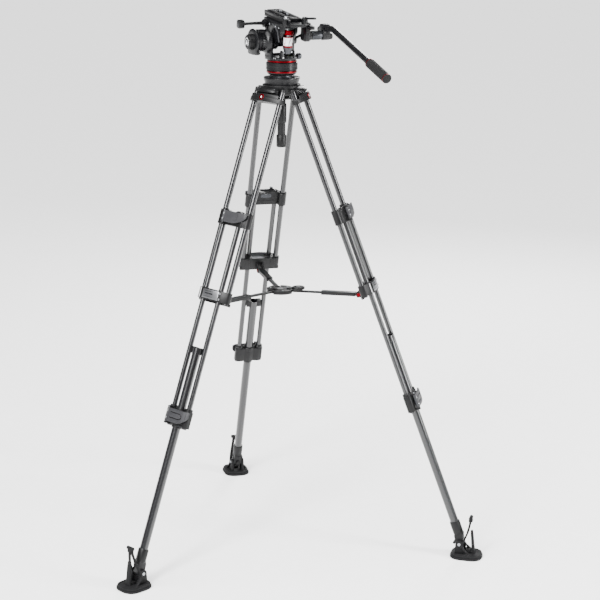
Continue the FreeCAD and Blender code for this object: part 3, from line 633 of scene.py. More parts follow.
def settle(mesh: bpy.types.Mesh, name: str, materials: list[bpy.types.Material], body: str, slot: str,
           *nodes: str) -> bpy.types.Object:
    """Makes an object of a finished mesh and gives it to its body.

    Args:
        mesh: The mesh, already in place.
        name: The piece's name.
        materials: Its materials, or none if the mesh has them.
        body: The body that it rides on.
        slot: Not used.
        *nodes: The model's nodes that it stands for.

    Returns:
        The object.
    """
    if materials:
        for material in materials:
            mesh.materials.append(material)
    for face in mesh.polygons:
        face.use_smooth = True
    mesh.set_sharp_from_angle(angle=radians(32))
    made = bpy.data.objects.new(name, mesh)
    bpy.context.scene.collection.objects.link(made)
    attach(made, body)
    if nodes:
        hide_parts(*nodes)
    LOG.info("%s: %d faces on %s", name, len(mesh.polygons), body)
    return made


def carved(part: bmesh.types.BMesh, cutter: bmesh.types.BMesh) -> bmesh.types.BMesh:
    """Cuts one closed shape out of another.

    Args:
        part: The shape that is cut; it is used up.
        cutter: The shape taken away.

    Returns:
        What is left.
    """
    objects = []
    for source in (part, cutter):
        mesh = bpy.data.meshes.new("carving")
        source.to_mesh(mesh)
        held = bpy.data.objects.new("carving", mesh)
        bpy.context.scene.collection.objects.link(held)
        objects.append(held)
    part.free()
    whole, tool = objects
    cut = whole.modifiers.new("cut", "BOOLEAN")
    cut.operation = "DIFFERENCE"
    cut.solver = "EXACT"
    cut.use_self = True
    cut.object = tool
    graph = bpy.context.evaluated_depsgraph_get()
    graph.update()
    result = bpy.data.meshes.new_from_object(whole.evaluated_get(graph), depsgraph=graph)
    left = bmesh.new()
    left.from_mesh(result)
    for held in objects:
        data = held.data
        bpy.data.objects.remove(held)
        bpy.data.meshes.remove(data)
    bpy.data.meshes.remove(result)
    bmesh.ops.dissolve_limit(left, angle_limit=radians(1), verts=left.verts, edges=left.edges)
    return left


# ---------------------------------------------------------------------------------------------
# Repeated shapes
# ---------------------------------------------------------------------------------------------
class Repeat:
    """A Geometry Nodes tree with named inputs, turned into a plain mesh."""

    def __init__(self, name: str, inputs: dict[str, tuple[str, object]]) -> None:
        """Starts the tree.

        Args:
            name: The tree's name.
            inputs: Input name to (socket type, value).
        """
        self.name = name
        self.inputs = inputs
        self.tree = bpy.data.node_groups.new(name, "GeometryNodeTree")
        face = self.tree.interface
        face.new_socket("Geometry", in_out="INPUT", socket_type="NodeSocketGeometry")
        self.keys = {key: face.new_socket(key, in_out="INPUT", socket_type=kind).identifier
                     for key, (kind, _) in inputs.items()}
        face.new_socket("Geometry", in_out="OUTPUT", socket_type="NodeSocketGeometry")
        self.source = add(self.tree, "NodeGroupInput")

    def mesh(self, last: bpy.types.NodeSocket, finish: Finish, start: bpy.types.Mesh | None = None) -> bpy.types.Mesh:
        """Ends the tree and runs it.

        Args:
            last: The instances.
            finish: What they are made of.
            start: The mesh that the tree works on, if it needs one.

        Returns:
            The plain mesh.
        """
        real = add(self.tree, "GeometryNodeRealizeInstances", {0: last})
        dressed = add(self.tree, "GeometryNodeSetMaterial", {0: real.outputs[0]})
        dressed.inputs["Material"].default_value = finish.material()
        add(self.tree, "NodeGroupOutput", {0: dressed.outputs[0]})
        base = start or bpy.data.meshes.new(self.name)
        holder = bpy.data.objects.new(self.name, base)
        bpy.context.scene.collection.objects.link(holder)
        modifier = holder.modifiers.new(self.name, "NODES")
        modifier.node_group = self.tree
        for key, (_, value) in self.inputs.items():
            modifier[self.keys[key]] = value
        graph = bpy.context.evaluated_depsgraph_get()
        graph.update()
        made = bpy.data.meshes.new_from_object(holder.evaluated_get(graph), depsgraph=graph)
        bpy.data.objects.remove(holder)
        bpy.data.meshes.remove(base)
        bpy.data.node_groups.remove(self.tree)
        if not made.materials:
            made.materials.append(finish.material())
        return made


def ribs(name: str, frame: Matrix, radius: float, count: int, size: Point3, height: float, finish: Finish,
         body: str, slot: str) -> bpy.types.Object:
    """Makes upright grip ribs round a ring.

    Args:
        name: The piece's name.
        frame: The ring's frame; it turns about Z.
        radius: Distance of each rib's middle from the axis.
        count: How many ribs.
        size: A rib's depth, width and length.
        height: The ribs' middle, along Z.
        finish: Their finish.
        body: The body that they ride on.
        slot: Not used.

    Returns:
        The object.
    """
    kit = Repeat(name, {"Radius": ("NodeSocketFloat", radius), "Count": ("NodeSocketInt", count),
                        "Size": ("NodeSocketVector", size), "Height": ("NodeSocketFloat", height)})
    tree, source = kit.tree, kit.source
    circle = add(tree, "GeometryNodeMeshCircle", {"Vertices": source.outputs["Count"],
                                                  "Radius": source.outputs["Radius"]})
    place = add(tree, "GeometryNodeInputPosition")
    facing = add(tree, "FunctionNodeAlignRotationToVector", {"Vector": place.outputs[0]}, axis="X")
    rib = add(tree, "GeometryNodeMeshCube", {"Size": source.outputs["Size"]})
    spread = add(tree, "GeometryNodeInstanceOnPoints", {
        "Points": circle.outputs[0], "Instance": rib.outputs[0], "Rotation": facing.outputs[0]})
    lift = add(tree, "ShaderNodeCombineXYZ", {"Z": source.outputs["Height"]})
    moved = add(tree, "GeometryNodeTranslateInstances", {
        0: spread.outputs[0], "Translation": lift.outputs[0], "Local Space": False})
    mesh = kit.mesh(moved.outputs[0], finish)
    mesh.transform(frame)
    return settle(mesh, name, [], body, slot)


def screws(name: str, frame: Matrix, spots: list[Point3], facing: Point3, radius: float, height: float,
           body: str, slot: str, finish: Finish = STEEL) -> bpy.types.Object:
    """Makes a socket-head screw at each spot.

    Args:
        name: The piece's name.
        frame: The frame that the spots are in.
        spots: Where the heads sit.
        facing: Which way the heads point.
        radius: The head's radius.
        height: The head's height.
        body: The body that they ride on.
        slot: Not used.
        finish: Their finish.

    Returns:
        The object.
    """
    kit = Repeat(name, {"Facing": ("NodeSocketVector", facing), "Radius": ("NodeSocketFloat", radius),
                        "Height": ("NodeSocketFloat", height)})
    tree, source = kit.tree, kit.source
    turn = add(tree, "FunctionNodeAlignRotationToVector", {"Vector": source.outputs["Facing"]}, axis="Z")
    wide = add(tree, "ShaderNodeMath", {0: source.outputs["Radius"], 1: 0.5}, operation="MULTIPLY")
    head = add(tree, "GeometryNodeMeshCylinder", {
        "Vertices": 20, "Radius": source.outputs["Radius"], "Depth": source.outputs["Height"]})
    collar = add(tree, "GeometryNodeMeshCone", {
        "Vertices": 20, "Radius Top": wide.outputs[0], "Radius Bottom": source.outputs["Radius"],
        "Depth": wide.outputs[0]})
    up = add(tree, "ShaderNodeMath", {0: source.outputs["Height"], 1: 0.5}, operation="MULTIPLY")
    lift = add(tree, "ShaderNodeCombineXYZ", {"Z": up.outputs[0]})
    raised = add(tree, "GeometryNodeTransform", {0: collar.outputs[0], "Translation": lift.outputs[0]})
    both = add(tree, "GeometryNodeJoinGeometry", {0: head.outputs[0]})
    tree.links.new(raised.outputs[0], both.inputs[0])
    spread = add(tree, "GeometryNodeInstanceOnPoints", {
        "Points": source.outputs["Geometry"], "Instance": both.outputs[0], "Rotation": turn.outputs[0]})
    points = bpy.data.meshes.new(name)
    points.from_pydata([tuple(s) for s in spots], [], [])
    mesh = kit.mesh(spread.outputs[0], finish, points)
    mesh.transform(frame)
    return settle(mesh, name, [], body, slot)


# ---------------------------------------------------------------------------------------------
# Legs
# ---------------------------------------------------------------------------------------------
@dataclass
class Leg:
    """One leg: twin upper tubes, twin middle tubes, a lower tube, their locks and the foot."""

    number: int
    azimuth: float
    upper_gap: float = 52.0
    upper_radius: float = 8.0
    upper_top: float = 19.0
    upper_length: float = 645.0
    middle_gap: float = 32.0
    middle_radius: float = 7.5
    inset: float = 12.0
    lower_radius: float = 12.5
    yoke_half: float = 62.0

    def __post_init__(self) -> None:
        """Works out the leg's frame and its node and body names."""
        self.frame = LAYOUT.leg(self.azimuth)
        self.tag = f"leg_{self.number}_"
        self.leg_body = f"leg_{self.number}"
        self.middle_body = f"mid_{self.number}"
        self.foot_body = f"foot_{self.number}"

    def twill(self, across: float, out: float, radius: float, label: str) -> TwillFinish:
        """Returns the weave wrapped for one of this leg's tube sizes."""
        return TwillFinish(f"twill_carbon_fibre_{label}_{self.number}", "0c0c0e", 0.28, coat=0.55, specular=0.45,
                           azimuth=self.azimuth, across_mm=across, out_mm=out, radius_mm=radius)

    def build(self) -> None:
        """Makes every piece of the leg."""
        self.yoke()
        self.upper_tubes()
        self.bracket()
        self.middle_tubes()
        self.upper_lock()
        self.upper_lever()
        self.lower_lock()
        self.lower_lever()
        self.foot_tube()
        self.shoe()

    def yoke(self) -> None:
        """Makes the shoulder casting: a bulged shield, its hinge barrel and a round badge."""
        piece = Piece(self.tag + "shoulder", self.frame)
        arc = bulged(self.yoke_half, 10, 28, 28)
        outline = arc + rounded([(-self.yoke_half, -9), (self.yoke_half, -9)], 0)
        piece.prism(outline, -25.9, -12, CASTING, bevel=1.2)
        front = bulged(55, 14.5, 28, 28)
        piece.prism(front + [(-50, 14.2), (50, 14.2)], -14, -3.2, CASTING, bevel=1.6)
        groove = bulged(self.yoke_half - 0.6, 10.4, 28.35, 28)
        piece.prism(groove + [(-58, 6), (58, 6)], -23.6, -22.6, MOULDING, bevel=0)
        piece.rod(10, (-34, 0, 0), (34, 0, 0), CASTING, 1.2, 40)
        piece.rod(6, (-42.4, 0, 0), (42.4, 0, 0), STEEL, 0.6)
        piece.prism(rounded([(-32.5, -8.8), (32.5, -8.8), (32.5, 8.8), (-32.5, 8.8)], 3), -13, -0.5, CASTING)
        for x in (-20, 20):
            piece.prism(rounded([(x - 3, 8), (x + 3, 8), (x + 3, 20), (x - 3, 20)], 1), -13, -5, CASTING)
        badge = [(0, 0), (9, 0), (9, 1.6), (8.4, 2.1), (7.2, 2.1), (6.9, 1.7), (0, 1.7)]
        piece.lathe(badge, (0, 26.9, -13.9), (0, 30, -13.9), RED, 40)
        mark = rounded([(-3.6, -17), (0, -16.2), (3.6, -17), (1.4, -13), (0, -9.6), (-1.4, -13)], 0.8)
        piece.prism(mark, 28.2, 29.2, WHITE_INK, Axis.Y, 0.2)
        piece.done(self.leg_body, "casting", self.tag + "yoke")

    def tube(self, piece: Piece, radius: float, x: float, y: float, low: float, high: float,
             finish: Finish) -> None:
        """Adds a hollow tube along the leg."""
        wall = 1.6
        piece.hoop([(radius - wall, low), (radius - 0.4, low), (radius, low + 0.4), (radius, high - 0.4),
                    (radius - 0.4, high), (radius - wall, high)], (x, y), finish)

    def upper_tubes(self) -> None:
        """Makes the twin upper tubes with their moulded end caps."""
        piece = Piece(self.tag + "upper_pair", self.frame)
        finish = self.twill(self.upper_gap, 0, self.upper_radius, "upper")
        for x in (-self.upper_gap, self.upper_gap):
            self.tube(piece, self.upper_radius, x, 0, self.upper_top - self.upper_length, self.upper_top - 9, finish)
            cap = [(0, -2), (6.3, -2), (6.3, 0), (8.0, 0), (8.0, 6.2), (7.4, 8), (5.6, 9.0), (0, 9.3)]
            start = (x, 0, self.upper_top - 9.4)
            piece.lathe(cap, start, (x, 0, self.upper_top), MOULDING, 36)
        piece.done(self.leg_body, "carbon", self.tag + "upper_tubes")

    def middle_tubes(self) -> None:
        """Makes the twin middle tubes."""
        piece = Piece(self.tag + "middle_pair", self.frame)
        finish = self.twill(self.middle_gap, self.inset, self.middle_radius, "middle")
        for x in (-self.middle_gap, self.middle_gap):
            self.tube(piece, self.middle_radius, x, self.inset, -1003, -352, finish)
        piece.done(self.middle_body, "carbon", self.tag + "mid_tubes")

    def bracket(self) -> None:
        """Makes the open bracket at the upper tubes' feet, with its name plate and arm lug."""
        top, low, gap = -583.0, -634.0, self.upper_gap
        holes = Piece("holes", Matrix())
        window = rounded([(-25.2, -6), (25.2, -6), (25.2, 25.0), (-25.2, 25.0)], 3)
        holes.prism(window, low - 2, top + 2, CASTING, bevel=0)
        for x in (-gap, gap):
            holes.prism(ring_points(8.06, (x, 0), 40), low + 4, top + 2, CASTING, bevel=0)
        shell = Piece(self.tag + "spreader_bracket", self.frame)
        arc = bulged(46, 20, 28, 20)
        left = [(-gap - 12 * cos(a), -12 * sin(a)) for a in [(-1.1 + 2.67 * k / 12) for k in range(13)]]
        right = [(-x, y) for x, y in reversed(left)]
        outline = arc + left + right
        shell.prism(outline, low + 12, top - 5.5, CASTING, bevel=1.4, carve=holes)
        rear = rounded([(-gap - 11, -11.8), (gap + 11, -11.8), (gap + 11, -2), (24, -2), (24, -6), (-24, -6), (-24, -2),
                        (-gap - 11, -2)], [8, 8, 2, 2, 0, 0, 2, 2])
        rear_holes = Piece("holes", Matrix())
        for x in (-gap, gap):
            rear_holes.prism(ring_points(8.06, (x, 0), 40), low - 4, top + 2, CASTING, bevel=0)
        shell.prism(rear, low + 6, low + 14, CASTING, bevel=1.2, carve=rear_holes)
        for x in (-self.middle_gap, self.middle_gap):
            bush = [(7.6, 0), (7.9, 0), (8.0, 0.6), (7.9, 1.6), (7.6, 1.6)]
            shell.hoop([(r, z + top - 6) for r, z in bush], (x, self.inset), MOULDING)
        plate = bulged(35, 23.6, 28.3, 20) + [(-35, 21.5), (35, 21.5)]
        shell.prism([(x - 1, y) for x, y in plate], -618.5, -592, SILVER, bevel=0.25)
        for z, tall, x0, x1, finish in ((-597.2, 1.2, -24, 20, GREY), (-604, 3.6, -18, 16, GREY),
                                        (-613, 1.2, -26, 24, GREY)):
            band = [(x, 28.45 - x * x * 0.0039) for x in [x0 + (x1 - x0) * k / 10 for k in range(11)]]
            shell.prism(band + [(x1, 24.5), (x0, 24.5)], z - tall / 2, z + tall / 2, finish, bevel=0)
        for x0, x1, finish in ((36.5, 39.5, MOULDING), (39.5, 43.0, WHITE_INK), (43.0, 46.0, MOULDING)):
            shell.prism([(x0, 17), (x1, 17), (x1, 28.3 - x1 * x1 * 0.0039), (x0, 28.3 - x0 * x0 * 0.0039)],
                        -619.5, -591, finish, bevel=0)
        for side in (-1, 1):
            inner, outer = sorted((side * 6.8, side * 11.0))
            ear = rounded([(-38, -619), (-38, -611.5), (-27, -607), (-9, -600), (-9, -622), (-27, -628),
                           (-38, -626)], [6, 6, 3, 0, 0, 3, 6])
            shell.prism(ear, inner, outer, CASTING, Axis.X, 0.7)
            washer = [(0, 0), (5.4, 0), (5.4, 0.6), (3.4, 0.6), (3.4, 1.2), (0, 1.2)]
            shell.lathe(washer, (side * 11, -30, -619), (side * 13, -30, -619), RED, 28)
        for x in (-40, 40):
            shell.prism(rounded([(x - 7, -13), (x + 7, -13), (x + 7, -10), (x - 7, -10)], 1.5), low + 13, top - 8,
                        CASTING)
        shell.done(self.leg_body, "casting", self.tag + "bracket")
        screws(self.tag + "bracket_screws", self.frame, [(-40, 21.9, -597), (-40, 21.9, -614)],
               (0, 1, 0), 3.0, 1.6, self.leg_body, "steel")

    def sleeve(self, piece: Piece, outer: float, inner: float, x: float, y: float, low: float, high: float,
               finish: Finish) -> None:
        """Adds an open sleeve with eased rims."""
        tall = high - low
        profile = [(inner, 0.8), (inner + 0.8, 0), (outer - 1.2, 0), (outer, 1.4), (outer, tall - 1.4),
                   (outer - 1.2, tall), (inner + 0.8, tall), (inner, tall - 0.8)]
        piece.hoop([(r, z + low) for r, z in profile], (x, y), finish)

    def upper_lock(self) -> None:
        """Makes the upper clamp: two sleeves, a humped cross block and a lever seat."""
        top, low = -347.0, -401.0
        piece = Piece(self.tag + "upper_clamp", self.frame)
        for x in (-self.upper_gap, self.upper_gap):
            self.sleeve(piece, 12.5, 8.08, x, 0, low + 4, top - 6, CASTING)
        face = [(-47, low + 3), (47, low + 3), (47, top - 11), (38, top - 8), (30, top - 4.5), (20, top - 5.5),
                (12, top - 11), (0, top - 12.5), (-12, top - 11), (-20, top - 5.5), (-30, top - 4.5),
                (-38, top - 8), (-47, top - 11)]
        smooth = rounded(face, [4, 4, 3, 6, 6, 6, 6, 6, 6, 6, 6, 6, 3])
        piece.prism(smooth, 3.4, 21.8, CASTING, Axis.Y, 2.2)
        for side in (-1, 1):
            web = [(side * 42, 3.5), (side * 42, 20.5), (side * 50, 14), (side * 58, 11), (side * 55, 4)]
            piece.prism(web, low + 5, top - 9, CASTING, bevel=1.5)
        piece.prism([(-46, 2.6), (46, 2.6), (46, 3.8), (-46, 3.8)], -384, -382.4, MOULDING, bevel=0)
        label = rounded([(-16, -372), (18, -372), (18, -359.5), (-16, -359.5)], 6)
        piece.prism(label, 2.6, 3.6, GREY, Axis.Y, 0.2)
        for z0, z1 in ((-398, -391.6), (-356.4, -350)):
            piece.rod(5, (22, 28, z0), (22, 28, z1), CASTING, 0.8, 28)
            piece.prism([(17.4, 19), (26.6, 19), (26.6, 28), (17.4, 28)], z0, z1, CASTING)
        piece.done(self.middle_body, "casting", self.tag + "upper_lock")
        screws(self.tag + "upper_clamp_screws", self.frame, [(22, 28, -350)], (0, 0, 1), 2.6, 0.8,
               self.middle_body, "steel")

    def leaf(self, piece: Piece, pivot: Point2, tip: float, z0: float, z1: float, thick: float,
             slit: bool) -> None:
        """Adds a lever's leaf: flat from its barrel, then curling in to a lipped tip."""
        px, py = pivot
        line = [(px + 3, py), (px - 12, py + 0.4), (px - 34, py + 0.2), (-34, py - 0.6), (-44, py - 2.4),
                (-tip + 6, py - 4.6), (-tip, py - 6.2)]
        half = thick / 2
        outer = [(x, y + half) for x, y in line] + [(-tip - 0.8, py - 7.6)]
        inner = [(x, y - half) for x, y in reversed(line)]
        outline = rounded(outer + inner, 1.5, 3)
        carve = Piece("slit", Matrix())
        arc = [(-tip - 2 + (tip - 8) * (1 - cos(a)), z1 - 3 - (z1 - z0 - 3) * sin(a))
               for a in [pi / 2 * k / 12 for k in range(13)]]
        carve.prism(arc + [(-8, z0 - 4), (-tip - 8, z0 - 4), (-tip - 8, z1 - 3)], 10, 60, LEVER, Axis.Y, 0)
        if slit:
            high, deep = z1 - 9.5, z0 + 12
            gap = [(16, high), (-22, high), (-30, high - 4), (-32.5, (high + deep) / 2), (-30, deep + 4), (-22, deep),
                   (16, deep), (16, deep + 2.4), (-21, deep + 2.4), (-27.6, deep + 5.6), (-29.8, (high + deep) / 2),
                   (-27.6, high - 5.6), (-21, high - 2.4), (16, high - 2.4)]
            carve.prism(gap, 10, 60, LEVER, Axis.Y, 0)
        piece.prism(outline, z0, z1, LEVER, bevel=1.1, carve=carve)
        piece.rod(5.0 if not slit else 5.4, (px, py, z0), (px, py, z1), LEVER, 1.0, 32)
        piece.rod(2.5, (px, py, z0 - 5.8), (px, py, z1 + 5.8), STEEL, 0.4, 20)

    def upper_lever(self) -> None:
        """Makes the upper clamp's lever."""
        piece = Piece(self.tag + "upper_clamp_lever", self.frame)
        self.leaf(piece, (22, 28), 61, -391, -357, 4.6, False)
        rib = rounded([(-34, -380), (-4, -386), (12, -386), (12, -361), (-34, -361)], 6)
        piece.prism(rib, 29.8, 30.9, LEVER, Axis.Y, 0.8)
        piece.done(f"upper_lever_{self.number}", "lever", self.tag + "upper_lever")
        screws(self.tag + "upper_lever_screws", self.frame, [(22, 32.0, -366.5), (22, 32.0, -381.5)],
               (0, 1, 0), 2.7, 1.4, f"upper_lever_{self.number}", "steel")

    def lower_lock(self) -> None:
        """Makes the lower clamp: sleeves for the middle tubes round a collar for the lower tube."""
        top, low, y = -933.0, -1008.0, self.inset
        holes = Piece("holes", Matrix())
        holes.prism(ring_points(12.6, (0, y), 48), low - 2, top + 2, CASTING, bevel=0)
        for x in (-self.middle_gap, self.middle_gap):
            holes.prism(ring_points(7.55, (x, y), 36), low + 5, top + 2, CASTING, bevel=0)
        piece = Piece(self.tag + "lower_clamp", self.frame)
        outline = rounded([(-45, 2), (-30, -1.4), (-14, 1.0), (0, -4.6), (14, 1.0), (30, -1.4), (45, 2), (45, 22),
                           (32, 25.4), (17, 25.5), (0, 29.2), (-17, 25.5), (-32, 25.4), (-45, 22)],
                          [8, 8, 6, 14, 6, 8, 8, 8, 8, 6, 14, 6, 8, 8])
        piece.prism(outline, low + 9, top - 17, CASTING, bevel=1.8, carve=holes)
        for x in (-self.middle_gap, self.middle_gap):
            self.sleeve(piece, 12.0, 7.58, x, y, top - 24, top - 9, CASTING)
        self.sleeve(piece, 16.8, 12.62, 0, y, top - 24, top - 13, MOULDING)
        self.sleeve(piece, 15.6, 12.62, 0, y, low + 3, low + 12, MOULDING)
        for z0, z1 in ((-999, -992.6), (-951.4, -947)):
            piece.rod(5.4, (28, 33.5, z0), (28, 33.5, z1), CASTING, 0.8, 28)
            piece.prism([(23, 20), (33, 20), (33, 33), (23, 33)], z0, z1, CASTING)
        label = rounded([(-34, -998), (-14, -998), (-14, -994.5), (-34, -994.5)], 1.6)
        piece.prism(label, 23.5, 27.0, GREY, Axis.Y, 0.2)
        piece.done(self.middle_body, "casting", self.tag + "lower_lock")
        screws(self.tag + "lower_clamp_screws", self.frame, [(28, 33.5, -946.8)], (0, 0, 1), 2.8, 0.8,
               self.middle_body, "steel")

    def lower_lever(self) -> None:
        """Makes the lower clamp's slotted lever."""
        piece = Piece(self.tag + "lower_clamp_lever", self.frame)
        self.leaf(piece, (28, 33.5), 51, -992, -952, 4.8, True)
        piece.done(f"lower_lever_{self.number}", "lever", self.tag + "lower_lever")
        screws(self.tag + "lower_lever_screws", self.frame, [(28, 38.0, -962), (28, 38.0, -982)], (0, 1, 0), 2.7,
               0.9, f"lower_lever_{self.number}", "steel")

    def foot_tube(self) -> None:
        """Makes the lower tube with its slider and the socket that the shoe hangs from."""
        y = self.inset
        piece = Piece(self.tag + "lower_tube", self.frame)
        self.tube(piece, self.lower_radius, 0, y, -1377, -765, self.twill(0, y, self.lower_radius, "lower"))
        holes = Piece("holes", Matrix())
        holes.prism(ring_points(11.2, (0, y), 36), -790, -760, CASTING, bevel=0)
        slider = rounded([(-23.8, 3.2), (23.8, 3.2), (23.8, 20.8), (-23.8, 20.8)], 2)
        piece.prism(slider, -783, -763, MOULDING, bevel=1.0, carve=holes)
        profile = [(0, 0), (11, 0), (14.6, 5), (15.5, 9), (15.5, 40), (14.6, 43.6), (12.6, 44.0), (0, 44.0)]
        piece.lathe(profile, (0, y, -1411), (0, y, -1367), MOULDING, 48)
        tongue = rounded([(-4.5, -1437), (-2.5, -1411), (2, -1400), (22, -1400), (26, -1411), (18.6, -1437),
                          (12, -1447.5), (1.5, -1447.5)], [6, 4, 2, 2, 4, 6, 6, 6])
        piece.prism(tongue, -12.8, 12.8, MOULDING, Axis.X, 1.2)
        piece.rod(5, (-22.4, 6.85, -1436.97), (22.4, 6.85, -1436.97), STEEL, 0.6)
        piece.done(self.foot_body, "carbon", self.tag + "foot_tube")

    def shoe(self) -> None:
        """Makes the rubber shoe with its ears, sole and rubber latch."""
        frame = LAYOUT.upright(self.azimuth)
        piece = Piece(self.tag + "rubber_shoe", frame)
        x0, x1, half = 541.0, 638.0, 42.0
        sole = rounded([(x0, -half), (x1, -half), (x1, half), (x0, half)], 38, 10)
        piece.prism(sole, 0, 6.5, RUBBER, bevel=1.2)
        upper = rounded([(x0 + 2.5, -half + 2.5), (x1 - 2.5, -half + 2.5), (x1 - 2.5, half - 2.5),
                         (x0 + 2.5, half - 2.5)], 36, 10)
        piece.prism(upper, 6, 12.9, RUBBER, bevel=2.6)
        for side in (-1, 1):
            inner, outer = sorted((side * 13.6, side * 21.8))
            ear = rounded([(556, 11), (558.4, 47), (563, 53.6), (577, 53.6), (581.6, 47), (586, 11)],
                          [0, 8, 8, 8, 8, 0])
            piece.prism(ear, inner, outer, RUBBER, Axis.Y, 1.4)
            rib = [(x0 + 14 + 70 * k / 10, side * (27 + 5.5 * sin(pi * k / 10)), 13.0) for k in range(11)]
            piece.sweep(rib, ring_points(2.6, (0, 0), 10), RUBBER,
                        sizes=[0.4 + 0.6 * sin(pi * k / 10) for k in range(11)])
        post = [(611, 0, 12), (610.5, 0, 22), (608.5, 0, 40), (606, 0, 66), (604, 0, 84)]
        flat = rounded([(-8, -4.6), (8, -4.6), (8, 4.6), (-8, 4.6)], 3, 3)
        piece.sweep(post, flat, RUBBER, up=(1, 0, 0), sizes=[1.2, 1.0, 0.9, 0.86, 0.7])
        band = rounded([(-4.6, -2.8), (4.6, -2.8), (4.6, 2.8), (-4.6, 2.8)], 2, 3)
        for side in (-1, 1):
            arm = [(574, side * 20, 32), (582, side * 19, 50), (592, side * 14, 76), (598, side * 7, 104),
                   (600, side * 4.5, 119)]
            piece.sweep(arm, band, RUBBER, up=(1, 0, 0), sizes=[1.25, 1.0, 0.9, 0.95, 1.1])
            tail = [(576, side * 21, 40), (586, side * 23, 26), (600, side * 25, 14), (606, side * 26, 11)]
            piece.sweep(tail, band, RUBBER, up=(1, 0, 0), sizes=[1.0, 0.9, 0.9, 1.1])
        piece.rod(5.4, (600, -13.5, 124), (600, 13.5, 124), RUBBER, 2.5)
        piece.prism(rounded([(594, 112), (606, 112), (605, 126), (595, 126)], 2), -8, 8, RUBBER, Axis.Y, 1.5)
        piece.prism(rounded([(583, 10), (600, 10), (606, 24), (597, 24), (588, 19)], 3), -7.5, 7.5, RUBBER, Axis.Y, 1.5)
        piece.lathe([(0, 0), (7, 0), (7, 5), (5.6, 7.4), (0, 7.8)], (556, 0, 40), (548, 0, 44), MOULDING, 28)
        piece.done(f"shoe_{self.number}", "rubber", self.tag + "foot_shoe")
        ribs(self.tag + "sole_tread", frame @ Matrix.Translation((589.5, 0, 0)), 30.0, 20, (14, 2.4, 2.0), 1.0, RUBBER,
             f"shoe_{self.number}", "rubber")


